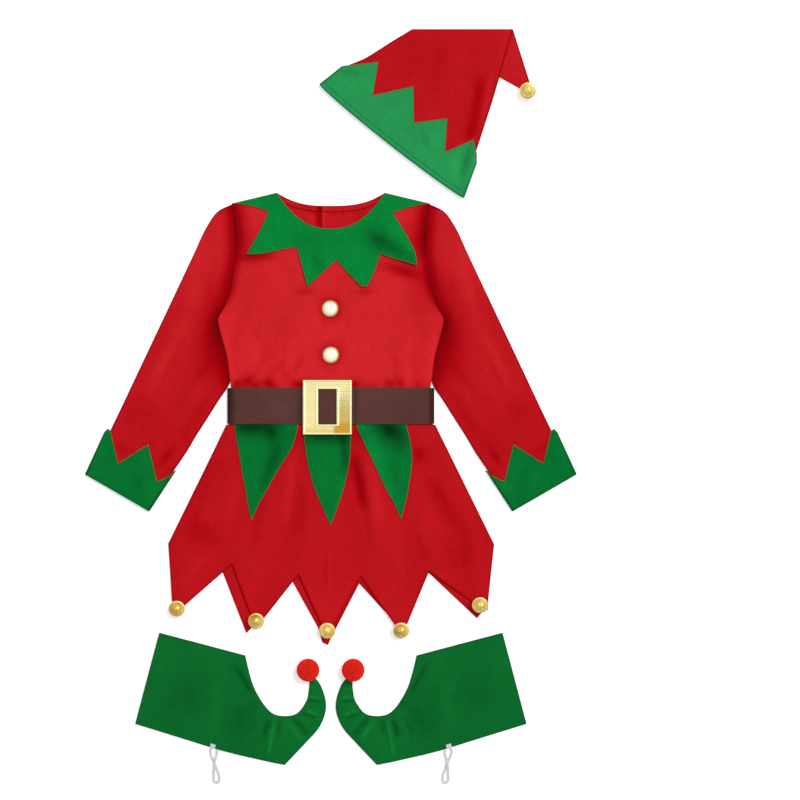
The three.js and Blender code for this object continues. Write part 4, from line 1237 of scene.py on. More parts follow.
def pointed_band(name, node, slot, data, hem, material, side=1, tones=(), nap=1.0):
    """A pointed band round the end of a sleeve or hat, pressed flat with what it goes round."""
    rows = np.arange(len(data["f"]), dtype=float)
    x1, y1, x2, y2 = hem["ends"]
    long = math.hypot(x2 - x1, y2 - y1)

    def plan(v, f):
        row = np.interp(f, data["f"], rows)
        to_x, to_y = cornered(data, row, ("x", "y"))
        bow = hem["bow"] * np.sqrt(np.maximum(0, np.sin(np.pi * f))) / long
        x = mix(mix(x1, x2, f) + bow * (y2 - y1), to_x, v)
        y = mix(mix(y1, y2, f) - bow * (x2 - x1), to_y, v)
        return side * x, y + 0 * x

    def gap(v, f):
        round_top = smooth(f / 0.12) * smooth((1 - f) / 0.12)
        return hem["gap"] + 0.5 * ripple(*plan(v, f)) * round_top

    def tone(x, y):
        u, w = side * x - x1, y - y1
        share = np.clip((u * (x2 - x1) + w * (y2 - y1)) / long**2, 0, 1)
        outward = (u * (y2 - y1) - w * (x2 - x1)) / long
        inward = hem["bow"] * np.sqrt(np.sin(np.pi * share)) - outward
        # Painted shade along the hem's fold and along its seam, with painted light on the doubled hem between
        hem_tone = -0.4 * bump(inward / 2.2)
        if hem["bow"]:
            hem_tone += 0.1 * bump((inward - 4.4) / 1.4) - 0.34 * bump((inward - HEM_SEAM) / 0.9)
        # nap is the piece's painted shade as a whole
        return nap * (patches(side * x, y, tones) + FOLD_HEIGHT_SHADE * ripple(x, y) + hem_tone)

    reach = RIM[1:] / 60
    seam = np.linspace(0.06, 0.24, 8)
    along = np.concatenate([[0], reach, seam, np.linspace(0.28, 1, 20)[:-1], 1 - reach[::-1], [1]])
    along = np.unique(along)
    margin = hem["margin"]
    inside = divided(np.concatenate([[margin], data["f"][1:-1], [1 - margin]]), 9)
    inside = np.unique(np.clip(inside, margin, 1 - margin))
    across = level_shares(inside)
    piece = tube_mesh(name, plan, along, across, flat_base, gap, material, tone, point_edge=True)
    if hem["bow"]:
        f = np.linspace(0.03, 0.97, 200)
        (ax, ay), (bx, by) = plan(0, f), plan(1, f)
        v = HEM_SEAM / np.hypot(bx - ax, by - ay)
        x, y = plan(v, f)
        line = np.stack([x, y, 2 * CLOTH + gap(v, f)], -1)
        stitches(f"{node}_stitches", line, GREEN_THREAD, 2.8, 0.9, 0.25)
    return place(piece, node, slot, ["floor"])


# Skirt and leaves
SKIRT_FRONT = table(
    "waist x y",
    [
        (-1, -243.6, -221),
        (-0.96, -237.9, -304.5),
        (-0.92, -231.5, -324),
        (-0.87, -218, -313),
        (-0.62, -148.1, -252),
        (-0.45, -120.3, -326.3),
        (-0.4, -111.5, -343),
        (-0.36, -98.2, -330.6),
        (-0.2, -48.5, -267.2),
        (-0.05, -15.8, -339),
        (0, -5.3, -357),
        (0.04, 6, -342),
        (0.2, 44.3, -269.7),
        (0.38, 95.3, -341.9),
        (0.42, 105, -357),
        (0.46, 115.2, -339.3),
        (0.62, 147, -262.5),
        (0.87, 214.5, -310.5),
        (0.92, 224.3, -320),
        (0.945, 234.6, -320.5),
        (0.965, 236, -300),
        (1, 244.5, -222),
    ],
)
SKIRT_BACK = table(
    "waist x y",
    [
        (-1, -242.5, -223),
        (-0.93, -233, -312),
        (-0.66, -166, -254),
        (-0.45, -126.5, -355.5),
        (-0.42, -118, -346),
        (-0.24, -63, -268),
        (-0.08, -19.5, -346.5),
        (-0.04, -12.6, -369.4),
        (-0.02, -4.2, -372.9),
        (0.02, 0.5, -362),
        (0.2, 42.5, -281),
        (0.42, 102, -346),
        (0.62, 142.5, -261),
        (0.9, 218.8, -333),
        (0.95, 233, -316),
        (1, 243, -224),
    ],
)
SKIRT_TOP = [(WAIST_Y - 0.5, 148.5), (BELT_BOTTOM + 0.4, 150.5), (BELT_BOTTOM - 2.5, 156.8)]
# Painted light and shade on the skirt front
SKIRT_SHADING = [
    (132, -87, 8, 9, 0, -0.2),
    (-178, -208, 26, 22, 0, -0.08),
    (150, -60, 30, 14, 0, 0.06),
    (-196, -208, 16, 20, 0, -0.1),
    (-150, -70, 30, 20, 0, 0.05),
    (0, -320, 60, 30, 0, 0.06),
    (-60, -60, 16, 12, 0, -0.1),
    (44, -56, 10, 12, 0, -0.16),
    (190, -240, 30, 40, 0, -0.06),
]
# Painted dark folds and light crests on the skirt
SKIRT_STREAKS = [
    (32, -74, 54, -182, 8, -0.26),
    (58, -70, 74, -200, 9, 0.13),
    (142, -110, 204, -216, 11, -0.13),
    (200, -188, 210, -262, 10, -0.09),
    (168, -70, 226, -196, 8, 0.07),
    (-54, -66, -70, -206, 8, 0.13),
    (-42, -124, -46, -216, 6, -0.05),
    (-8, -216, -8, -300, 2.5, -0.08),
    (-2, -216, -2, -300, 2.5, 0.06),
    (-96, -130, -120, -250, 8, -0.08),
    (-132, -90, -160, -230, 8, 0.06),
    (-170, -80, -216, -230, 8, -0.06),
    (96, -160, 110, -300, 9, 0.05),
    (-182, -230, -226, -292, 5, 0.06),
    (126, -200, 150, -252, 6, -0.07),
]


def skirt(name, node, data, under, rests_on, tones=(), streaks=()):
    spans = np.diff(data["waist"])
    across, down = GRID["skirt"]
    breaks = [np.linspace(k, k + 1, max(4, int(across * s)), endpoint=False) for k, s in enumerate(spans)]
    places = with_rims(np.concatenate([*breaks, [len(spans)]]), SPAN)
    waist = blended(data, places, "waist")
    hem_x, hem_y = cornered(data, places, ("x", "y"))
    (top_y, top_wide), (mid_y, mid_wide), (low_y, low_wide) = SKIRT_TOP
    from_x = waist * low_wide
    v = shares(np.hypot(hem_x - from_x, hem_y - low_y), down)[1:]
    upper = np.array([0, 0.05, 0.3, 0.7, 1])[:, None]
    x = np.concatenate(
        [mix(waist * top_wide, waist * mid_wide, upper), (waist * (mid_wide + low_wide) / 2)[None, :],
         from_x[None, :], mix(from_x, hem_x, v)]
    )
    y = np.concatenate(
        [mix(top_y, mid_y, upper) + 0 * waist, (mid_y + low_y) / 2 + 0 * waist[None, :],
         low_y + 0 * waist[None, :], mix(low_y, hem_y, v)]
    )
    # Painted shade that follows the height of the skirt's ripples and flutes
    height_tone = ripple(x, y) + 0.25 * flute_at(x, y) - 0.4
    tone = patches(x, y, tones) + folds(x, y, streaks) + FOLD_HEIGHT_SHADE * height_tone
    piece = sheet_mesh(name, x, y, under(x, y), RED, tone=PIECE_SHADE["skirt"] * tone)
    return place(piece, node, "red_cloth", rests_on)


LEAVES = {
    "leaf_left": table(
        "down left right",
        [
            (20, -145.5, -44),
            (42.5, -144.6, -48),
            (73, -139.8, -56),
            (108, -134, -77),
            (140, -128.2, -95),
            (165, -123.8, -109),
            (185.5, -119.2, -118),
        ],
    ),
    "leaf_centre": table(
        "down left right",
        [
            (20, -40, 31),
            (58, -40, 30.6),
            (86, -37.5, 29.4),
            (110, -32.6, 26),
            (139, -24.3, 19.4),
            (168, -12, 9.8),
            (193, -0.8, 0.5),
        ],
    ),
    "leaf_right": table(
        "down left right",
        [
            (20, 33.5, 112),
            (42.5, 37.5, 113.4),
            (65, 47, 119),
            (94, 61, 122),
            (137, 81, 116.8),
            (162, 95, 111.5),
            (183.6, 104, 105.2),
        ],
    ),
}
# Painted shade on the leaves: dark under the belt's lower edge and down their folds, with lighter lobes
LEAF_SHADING = [
    (-118, -46, 40, 13, 0, -0.78),
    (-88, -58, 10, 14, 8, -0.4),
    (-66, -54, 8, 12, 0, 0.1),
    (-84, -96, 14, 34, -16, -0.2),
    (-5, -60, 44, 11, 0, -0.68),
    (22, -88, 8, 32, 4, -0.56),
    (-12, -104, 14, 34, -6, 0.06),
    (84, -46, 26, 12, -8, -0.66),
    (102, -66, 14, 18, 16, -0.5),
    (84, -60, 10, 12, -20, -0.3),
    (58, -72, 12, 44, 24, 0.22),
    (-66, -46, 12, 6, 0, -0.1),
]
# Painted dark and light streaks along the leaves' folds
LEAF_STREAKS = [
    (-74, -62, -108, -154, 9, -0.24),
    (48, -44, 98, -168, 9, 0.22),
    (96, -100, 100, -140, 4, -0.1),
    (27, -50, 16, -150, 2.5, 0.12),
]


def leaf(name, data):
    down = data["down"]
    steps, across = GRID["leaf"]
    rows = curve(np.linspace(0, 1, steps), np.array([0, 1.0]), down[[0, -1]])
    rows = np.sort(np.concatenate([rows, down[0] + RIM[1:], down[-1] - RIM[1:]]))
    left, right = (curve(rows, down, data[k])[:, None] for k in ("left", "right"))
    f = shares(np.maximum(right - left, 0.4)[:, 0], across).T
    x = mix(left, right, f)
    y = np.broadcast_to(-rows[:, None], x.shape)
    tone = patches(x, y, LEAF_SHADING) + folds(x, y, LEAF_STREAKS)
    piece = sheet_mesh(f"felt_{name}", x, y, leaf_lift(x, y), GREEN, tone=PIECE_SHADE["leaf"] * tone)
    place(piece, name, "green_cloth", ["skirt_front"])


# Belt, buckle, buttons and bells
# Painted shade on the belt: dark at its folded ends and beside the buckle's sides, lighter and darker patches
# between
BELT_SHADING = [
    (-150, -15, 8, 60, 0, -0.5),
    (152, -15, 6, 60, 0, -0.4),
    (37, -15, 4, 60, 0, -0.35),
    (-45, -15, 3, 60, 0, -0.5),
    (-120, -10, 20, 30, 0, -0.08),
    (-80, -20, 20, 20, 0, 0.07),
    (110, -24, 24, 16, 0, -0.1),
    (70, 0, 20, 12, 0, 0.06),
]


def belt():
    def plan(v, f):
        return mix(-BELT_HALF, BELT_HALF, f) + 0 * v, mix(BELT_BOTTOM, BELT_TOP, v) + 0 * f

    def gap(v, f):
        x, y = plan(v, f)
        soft = 0.35 * ripple(x * 1.3, y * 0.5) * smooth(f / 0.1) * smooth((1 - f) / 0.1)
        return BELT_UNDER - BELT_WALL + soft

    def tone(x, y):
        return patches(x, y, BELT_SHADING)

    rows, columns = GRID["belt"]
    near = RIM[1:] / BELT_WIDTH
    along = np.sort(np.concatenate([near, np.linspace(0, 1, rows)[1:-1], 1 - near, [0, 1]]))
    across = level_shares(np.linspace(0.03, 0.97, columns))
    piece = tube_mesh("belt_cloth", plan, along, across, flat_base, gap, BROWN, tone, wall=BELT_WALL)
    place(piece, "belt", "brown_cloth", ["floor"])


# Rows from the buckle's rim to its window: share of the way in, height, and painted highlight that makes the
# raised rims pale
BUCKLE_ROWS = table(
    "in level cream",
    [
        (0, 0, 1),
        (0, 0.6, 1),
        (0.012, 0.85, 1),
        (0.04, 0.98, 1),
        (0.09, 1, 1),
        (0.13, 0.97, 0.7),
        (0.16, 0.91, 0),
        (0.19, 0.89, 0),
        (0.8, 0.89, 0),
        (0.82, 0.91, 0.2),
        (0.85, 0.97, 0.8),
        (0.89, 1, 1),
        (0.94, 0.99, 1),
        (0.98, 0.88, 1),
        (1, 0.6, 0.4),
        (1, 0, 0),
    ],
)
BUCKLE_FIELD = (7, 8)
RIB_PITCH = 2.7
RIB_HEIGHT = {"left": 0.04, "right": 0.2}


# Numbers of steps along a short and a long side of the buckle, and along its ribbed field
BUCKLE_STEPS, FIELD_STEPS = (80, 200), 14


def buckle():
    """A frame with two raised rims and fine level ribs, as rings of points from rim to window."""
    half = np.array([BUCKLE["width"], BUCKLE["height"]]) / 2
    window = np.array(BUCKLE["window"]) / 2
    corners = np.array([(-1, -1), (1, -1), (1, 1), (-1, 1)], float)
    sides = zip(BUCKLE_STEPS * 2, corners, np.roll(corners, -1, 0))
    around = np.concatenate([np.linspace(a, b, n, endpoint=False) for n, a, b in sides])
    first, last = BUCKLE_FIELD
    end = len(BUCKLE_ROWS["in"])
    rows = np.concatenate([np.arange(first), np.linspace(first, last, FIELD_STEPS), np.arange(last + 1, end)])
    across, level, cream = (blended(BUCKLE_ROWS, rows, k)[:, None] for k in ("in", "level", "cream"))
    size = mix(half[None, :], window[None, :], across)
    x = around[None, :, 0] * size[:, :1]
    y = around[None, :, 1] * size[:, 1:] + BUCKLE_WINDOW_UP * across
    right = smooth((x - 6) / 10)
    height = mix(RIB_HEIGHT["left"], RIB_HEIGHT["right"], right)
    wave = np.cos(2 * np.pi * y / RIB_PITCH + 0.25 * np.sin(x / 3))
    rib = height * wave * (1 - cream)
    rib *= smooth((rows[:, None] - 5) / 2) * smooth((10 - rows[:, None]) / 2)
    z = BUCKLE["thick"] * level + rib + 0.2 * np.sin(x / 21 + y / 33) * (level > 0)
    # Painted shade and reflection: the gold deeper towards the right and the bottom and along the ribs, and
    # pale on the rims
    deep = 0.3 + 0.45 * right * smooth((24 - y) / 36) + 0.4 * right * smooth((-16 - y) / 16)
    deep = (deep + 0.25 * smooth((-26 - y) / 12) - 0.14 * wave * right * smooth((20 - y) / 30)) * (1 - cream)
    base = BELT_UNDER + BELT_WALL + SEAM
    rings = np.stack([x + BUCKLE["x"], y + BUCKLE["y"], z + base], -1)
    faces = ring_faces(np.arange(x.size).reshape(x.shape), True)
    piece = make("gold_buckle", rings, faces, BUCKLE_GOLD, sharp=40, deep=deep)
    place(piece, "buckle", "buckle_gold")


def lathed(profile, steps):
    """Points and faces of a profile of radii and heights turned round the Z axis, with closed poles."""
    profile = np.array(profile, float)
    angles = np.linspace(0, 2 * math.pi, steps, endpoint=False)
    radius, height = profile[1:-1, 0], profile[1:-1, 1]
    ring = np.stack([radius[:, None] * np.cos(angles), radius[:, None] * np.sin(angles),
                     height[:, None] + 0 * angles], -1)
    ids = np.arange(ring.shape[0] * steps).reshape(ring.shape[0], steps)
    ids = np.concatenate([ids, ids[:, :1]], 1)
    faces = [tuple(face) for face in grid_faces(ids)]
    poles = np.array([(0, 0, profile[0, 1]), (0, 0, profile[-1, 1])])
    first = ring.shape[0] * steps
    for row, pole in ((ids[0][::-1], first), (ids[-1], first + 1)):
        for k in range(0, steps, 2):
            faces.append((row[k], row[k + 1], row[k + 2], pole))
    return np.concatenate([ring.reshape(-1, 3), poles]), np.array(faces)


def arc_profile(radius, low, high, count):
    """Radii and heights along an arc about the origin, between two angles in degrees."""
    return [(radius * math.cos(a), radius * math.sin(a)) for a in np.radians(np.linspace(low, high, count))]


# Numbers of steps round the turned pieces
STEPS_ROUND = {"button": 64, "bell": 120, "core": 48}


def button(name, node, x, y):
    """A shallow shiny dome inside a narrow turned rim."""
    degrees = np.radians(np.linspace(8, 90, 14))
    dome = [((BUTTON_RADIUS - 1.9) * math.cos(a), 1.1 + 3.7 * math.sin(a)) for a in degrees]
    rim = [
        (BUTTON_RADIUS - 1.2, 0),
        (BUTTON_RADIUS - 0.3, 0.3),
        (BUTTON_RADIUS, 0.9),
        (BUTTON_RADIUS - 0.2, 1.6),
        (BUTTON_RADIUS - 0.9, 2.1),
        (BUTTON_RADIUS - 1.6, 1.8),
    ]
    points, faces = lathed([(0, 0), *rim, *dome[:-1], (0, BUTTON_HEIGHT - 0.2)], STEPS_ROUND["button"])
    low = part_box(node)[0].z / MM
    deep = smooth((np.hypot(points[:, 0], points[:, 1]) - BUTTON_RADIUS + 3.2) / 2)
    piece = make(name, points + np.array([x, y, low]), faces, PALE_GOLD, sharp=80, deep=deep)
    place(piece, node, "pearl")


# Places of the bells, how far each is turned about its own axis, and how deep its gold is painted: a painted
# reflection that makes some bells paler
BELLS = {
    "bell_hem_1": (-229.2, -317.1, 5, 0.42),
    "bell_hem_2": (-111.1, -335.7, -50, 0.3),
    "bell_hem_3": (-5.1, -350.2, 152, 0.1),
    "bell_hem_4": (105.3, -349.5, 20, 0.4),
    "bell_hem_5": (223, -312.1, 170, 0.15),
    "hat_bell": (294.2, 455.6, 120, 0),
}
BELL_LEAN = 10
BELL_SLOT = {"half": 0.3, "long": 5.2, "eye": 0.8, "deep": 0.8, "from": 4}
# Painted reflection and shade: the flange paler, the slots darker and one side darker
BELL_PAINTED_SHADE = {"flange": 0.35, "slot": 0.5, "side": 0.5}


def bell(node, x, y, turn, gold):
    """A jingle bell: two domes joined by a flat flange, with two crossed slots with round ends."""
    dome = arc_profile(BELL_DOME, 6, 86, 34)
    root = (BELL_DOME + 0.15, 0.9)
    edge = [(BELL_FLANGE - 0.6, 0.85), (BELL_FLANGE - 0.1, 0.6), (BELL_FLANGE, 0)]
    upper = [(0, BELL_DOME), *dome[::-1], root, *edge]
    lower = [(r, -h) for r, h in [*edge[-2::-1], root, *dome[::3], (0, BELL_DOME)]]
    points, faces = lathed([*upper, *lower][::-1], STEPS_ROUND["bell"])
    a = math.radians(turn)
    u = points[:, 0] * math.cos(a) + points[:, 1] * math.sin(a)
    w = points[:, 1] * math.cos(a) - points[:, 0] * math.sin(a)
    s = BELL_SLOT
    inside = np.zeros(len(points))
    for p, q in ((u, w), (w, u)):
        strip = smooth((s["half"] + 0.25 - np.abs(q)) / 0.4) * (np.abs(p) < s["long"])
        eye = smooth((s["eye"] + 0.25 - np.hypot(np.abs(p) - s["long"], q)) / 0.4)
        inside = np.maximum(inside, np.maximum(strip, eye))
    inside *= points[:, 2] > s["from"]
    domed = np.hypot(points[:, 0], points[:, 1]) < BELL_DOME
    # Painted reflection and shade deepen the gold by bell, flange, slots and side
    deep = gold * np.where(domed, 1, BELL_PAINTED_SHADE["flange"]) + BELL_PAINTED_SHADE["slot"] * inside
    deep = deep + BELL_PAINTED_SHADE["side"] * smooth((-u - 1) / 9) * np.where(domed, 1, 0.4)
    points = points * (1 - inside * s["deep"] / BELL_DOME)[:, None]
    c, sn = math.cos(math.radians(BELL_LEAN)), math.sin(math.radians(BELL_LEAN))
    points = np.stack([points[:, 0], points[:, 1] * c - points[:, 2] * sn,
                       points[:, 2] * c + points[:, 1] * sn], -1)
    middle = sum(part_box(node), Vector()) / 2 / MM
    points = points + np.array([x, y, middle.z])
    piece = make(f"gold_{node}", points, faces, BELL_GOLD, sharp=50, deep=deep)
    place(piece, node, "bell_gold")


# Hat
FOLD_Y = 544.4
FOLD_INSIDE = 0.6
CROWN_GAP = 1
CROWN_THICK = 2 * CLOTH + CROWN_GAP
FOLD_LIFT = CROWN_THICK + 2 * FOLD_INSIDE
TIP_LENGTH = 96
FOLD_RADIUS = FOLD_INSIDE + CROWN_THICK / 2
FOLD_ARC = math.pi * FOLD_RADIUS
CROWN = table(
    "left_x left_y right_x right_y lift",
    [
        (-9, 469, 197, 306, 1.9),
        (19, 491.5, 214, 349, 1.9),
        (50, 505, 217, 364, 2),
        (70, 517, 224, 386, 2.4),
        (90, 529.6, 243.7, 447.6, 3.6),
        (102, 536.8, 247.7, 461.4, 4.6),
        (111, 542, 251.7, 475.1, FOLD_LIFT),
        (113, 543.2, 258, 499, FOLD_LIFT),
        (114.3, 544, 265.5, 524, FOLD_LIFT),
        (115, FOLD_Y, 271.5, FOLD_Y, FOLD_LIFT),
    ],
)
TIP_END = (290.6, 302)
# Painted light and shade on the crown: a dark fold near its right edge and soft lighter and darker places
CROWN_SHADING = [
    (206, 392, 7, 12, -14, -0.14),
    (150, 500, 50, 20, 30, -0.03),
    (60, 500, 14, 10, -30, -0.05),
    (98, 466, 16, 5, 8, 0.06),
    (150, 420, 16, 5, 8, 0.06),
    (258, 520, 8, 30, -12, 0.08),
]
# Painted dark and light streaks along the crown's folds
CROWN_STREAKS = [
    (228, 490, 208, 376, 8, -0.22),
    (243, 500, 222, 380, 3.5, 0.12),
    (196, 540, 180, 440, 9, 0.03),
    (170, 540, 150, 440, 9, -0.04),
]
CROWN_FOLDS = [
    (236, 470, 214, 376, 8, -1.2),
    (244, 470, 222, 380, 5, 0.8),
    (180, 530, 150, 440, 16, 0.7),
    (120, 520, 110, 460, 14, -0.6),
    (210, 540, 200, 440, 14, -0.6),
]


def over_fold(grid):
    """What is past the fold line goes down round it and lies under the rest."""
    x, y, z = (grid[..., k] for k in range(3))
    past = y - FOLD_Y
    height = FOLD_INSIDE + z - FOLD_LIFT
    centre = FOLD_LIFT - FOLD_INSIDE
    angle = np.clip(past / FOLD_RADIUS, 0, math.pi)
    round_y = FOLD_Y + height * np.sin(angle)
    round_z = centre + height * np.cos(angle)
    under = past >= FOLD_ARC
    new_y = np.where(past <= 0, y, np.where(under, FOLD_Y - (past - FOLD_ARC), round_y))
    new_z = np.where(past <= 0, z, np.where(under, centre - height, round_z))
    return np.stack([x, new_y, new_z], -1)


def hat_crown():
    last = len(CROWN["lift"]) - 1
    rows = np.arange(last + 1, dtype=float)

    def plan(v, f):
        past = np.maximum(v - last, 0)
        left_x, left_y, right_x, right_y = (
            curve(np.minimum(v, last), rows, CROWN[k]) for k in ("left_x", "left_y", "right_x", "right_y")
        )
        x = mix(mix(left_x, TIP_END[0], past), mix(right_x, TIP_END[1], past), f)
        return x, mix(left_y, right_y, f) + past * TIP_LENGTH

    def lift(v):
        return curve(np.minimum(v, last), rows, CROWN["lift"])

    def gap(v, f):
        x, y = plan(v, f)
        round_top = smooth(f / 0.2) * smooth((1 - f) / 0.2) * smooth((last - v) / 1.5)
        soft = folds(x, y, CROWN_FOLDS) + ripple(x, y) + 1
        return CROWN_GAP + np.maximum(soft, -0.6) * round_top

    bend_rows = last + np.linspace(0, FOLD_ARC / TIP_LENGTH, 14)[1:]
    tip_rows = np.linspace(bend_rows[-1], last + 1, 26)[1:]
    steps, columns = GRID["crown"]
    along = np.concatenate([divided(rows, steps), bend_rows, tip_rows])

    def tone(x, y):
        # Painted light and shade of the crown, a little lighter past the fold
        under = 0.1 * smooth((y - FOLD_Y) / 6)
        return PIECE_SHADE["hat"] * (patches(x, y, CROWN_SHADING) + folds(x, y, CROWN_STREAKS) + under)

    across = margin_shares(plan, columns)
    piece = tube_mesh("felt_hat_crown", plan, along, across, lift, gap, RED, tone, bend=over_fold)
    place(piece, "hat_crown", "red_cloth", ["floor"])


# Shoe covers
SHOE = table(
    "sole_x sole_y top_x top_y puff",
    [
        (-293, -491, -257, -354.6, 2),
        (-230, -510.5, -192.5, -371.6, 3),
        (-167.5, -530, -128.4, -388.6, 3.2),
        (-139.5, -537.3, -121.7, -416.3, 3.4),
        (-112, -543.5, -113.1, -441, 3.6),
        (-90, -548.5, -96.5, -467.2, 3.6),
        (-69, -552.5, -79.5, -478.4, 3.6),
        (-39.5, -521.4, -53, -476.6, 3.6),
        (-16.5, -494.7, -37.2, -457.8, 3.2),
        (-7.2, -465.9, -33.3, -441.8, 2.6),
        (-13.5, -437.3, -32.3, -430.5, 1.6),
        (-26, -418.5, -32.5, -418.8, 0),
    ],
)
SOLE_STRAIGHT, ANKLE_STRAIGHT = 6, 2
WRINKLES = table(
    "row reach depth",
    [
        (4.6, 0.35, 0.9),
        (5.33, 0.7, 1.5),
        (6, 0.5, 1.3),
        (6.67, 0.8, 1.5),
        (7.33, 0.6, 1.4),
        (8, 0.75, 1.3),
        (8.7, 0.9, 1.1),
    ],
)
SHOE_FOLDS = [
    (-90, -482, -104, -512, 4, -1.5),
    (-84, -480, -95, -544, 2.6, 1.5),
    (-76, -482, -80, -512, 3, -1.2),
    (-66, -482, -40, -520, 4.5, 1.4),
    (-56, -480, -30, -510, 4, -1.4),
    (-41, -468, -19, -478, 2.8, 1.3),
    (-42, -476, -22, -484, 2.6, -1.1),
    (-36, -450, -14, -452, 2.8, 1),
    (-36, -457, -14, -460, 2.6, -0.9),
    (-148, -392, -112, -456, 4.5, -1.4),
    (-136, -392, -102, -456, 5, 0.9),
    (-174, -410, -178, -516, 9, 0.7),
    (-104, -474, -124, -508, 4, -0.7),
    (-210, -390, -230, -480, 16, -0.6),
    (-112, -452, -124, -500, 6, -0.7),
]
# Painted light and shade on the shoe covers' upper sides
SHOE_SHADING = [
    (-214, -452, 36, 26, 0, -0.11),
    (-138, -486, 26, 28, 0, -0.15),
    (-169, -470, 9, 34, 0, 0.09),
    (-250, -400, 24, 24, 0, 0.06),
    (-190, -396, 30, 14, 0, 0.04),
    (-108, -482, 6, 16, -14, 0.16),
    (-62, -506, 40, 34, 0, 0.09),
    (-24, -448, 14, 32, 0, 0.16),
]
# Painted dark creases and light crests along the shoe covers' wrinkles
SHOE_STREAKS = [
    (-148, -396, -116, -450, 4, -0.22),
    (-138, -392, -104, -456, 4, 0.1),
    (-84, -480, -95, -546, 2, 0.4),
    (-92, -482, -102, -516, 3, -0.3),
    (-74, -482, -80, -514, 3, -0.14),
    (-124, -458, -142, -500, 5, -0.08),
    (-104, -474, -124, -508, 3.5, -0.12),
    (-69, -480, -42, -520, 3.2, 0.26),
    (-60, -478, -33, -512, 3, -0.3),
    (-51, -476, -28, -500, 2.6, 0.16),
    (-40, -469, -18, -478, 1.8, 0.36),
    (-42, -474, -20, -484, 2, -0.3),
    (-36, -450, -13, -451, 1.8, 0.3),
    (-36, -455, -13, -458, 2, -0.26),
    (-36, -437, -16, -440, 1.6, 0.14),
    (-118, -452, -100, -472, 3, -0.1),
]
# Painted shade that follows the height of the shoe's folds and wrinkles
SHOE_FOLD_HEIGHT_SHADE = 0.09


def spline(data, names, first):
    """A smooth curve by row number through a table's points from row first, straight before it."""
    points = np.stack([data[n][first:] for n in names], -1)
    before = np.concatenate([points[:1] * 2 - points[1:2], points, points[-1:] * 2 - points[-2:-1]])

    def at(row):
        low_x, low_y = cornered(data, np.minimum(row, first), names, sag="none")
        local = np.clip(row - first, 0, len(points) - 1)
        k = np.clip(np.floor(local).astype(int), 0, len(points) - 2)
        t = (local - k)[..., None]
        a, b, c, d = (before[k + n] for n in range(4))
        bent = (2 * a - 5 * b + 4 * c - d) * t**2 + (3 * b - a - 3 * c + d) * t**3
        turned = 0.5 * (2 * b + (c - a) * t + bent)
        late = row > first
        return np.where(late, turned[..., 0], low_x), np.where(late, turned[..., 1], low_y)

    return at


SHOE_SOLE = spline(SHOE, ("sole_x", "sole_y"), SOLE_STRAIGHT)
SHOE_TOP = spline(SHOE, ("top_x", "top_y"), ANKLE_STRAIGHT)


def shoe_grid():
    """Row numbers from heel to toe, and each row's shares from the sole seam to the top edge."""
    along, across = GRID["shoe"]
    rows = with_rims(divided(np.arange(len(SHOE["puff"]), dtype=float), along), SPAN)
    (sole_x, sole_y), (top_x, top_y) = SHOE_SOLE(rows), SHOE_TOP(rows)
    return rows, shares(np.maximum(np.hypot(top_x - sole_x, top_y - sole_y), 1.0), across)


def shoe_upper(rows, u):
    """Places of the upper side's points, its creases there and the heights of its underside."""
    (sole_x, sole_y), (top_x, top_y) = SHOE_SOLE(rows), SHOE_TOP(rows)
    x, y = mix(sole_x, top_x, u), mix(sole_y, top_y, u)
    puff = blended(SHOE, rows, "puff") * (4 * u * (1 - u)) ** 0.6
    away = smooth((1 - u) / 0.06) * np.minimum(1, puff / 2)
    crease = sum(
        d * bump((rows - r) / 0.24) * smooth((u - 1 + reach) / 0.3)
        for r, reach, d in zip(*WRINKLES.values())
    )
    soft = (folds(x, y, SHOE_FOLDS) + ripple(x * 1.2, y * 1.2) - 0.35 * crease) * away
    return x, y, soft, LAYER + np.maximum(puff + soft, 0)


def shoe_panel(name, node, side, upper):
    rows, u = shoe_grid()
    x, y, soft, lift = shoe_upper(rows[None, :], u)
    tone = np.ones(x.shape)
    if upper:
        tone = patches(x, y, SHOE_SHADING) + folds(x, y, SHOE_STREAKS) + SHOE_FOLD_HEIGHT_SHADE * soft
    else:
        lift = 0 * lift
    piece = sheet_mesh(name, side * x, y, lift, PINE, tone=tone, cut_edge=False)
    return place(piece, node, "pine_cloth", ["floor"])


PATCH_ROWS, PATCH_SHARES, PATCH_STEPS = (1.78, 1.9), (0.004, 0.042), 12
PATCH_WALL, PATCH_CLEAR = 0.5, 0.05


def elastic_patch(name, side):
    """The small square of elastic sewn over the loop's ends, on the upper side at the sole seam."""
    rows, u = np.meshgrid(*(np.linspace(*ends, PATCH_STEPS) for ends in (PATCH_ROWS, PATCH_SHARES)))
    x, y, _, lift = shoe_upper(rows, u)
    piece = sheet_mesh(name, side * x, y, lift + CLOTH + PATCH_CLEAR, ELASTIC, wall=PATCH_WALL)
    trim(piece)


# Half widths of a yarn fibre by the share of its length, its painted shade there, darker towards the root,
# and how much fibres vary
FIBRE_WIDTHS = ((0.0, 0.51), (0.55, 0.45), (1.0, 0.18))
FIBRE_SHADING = (0.9, 1.1, 1.3)
FIBRE_VARIES = {"way": 0.05, "lean": 0.16, "reach": 0.5, "tone": 0.1}
# Painted shade of the ball under the fibres
CORE_SHADING = 0.9


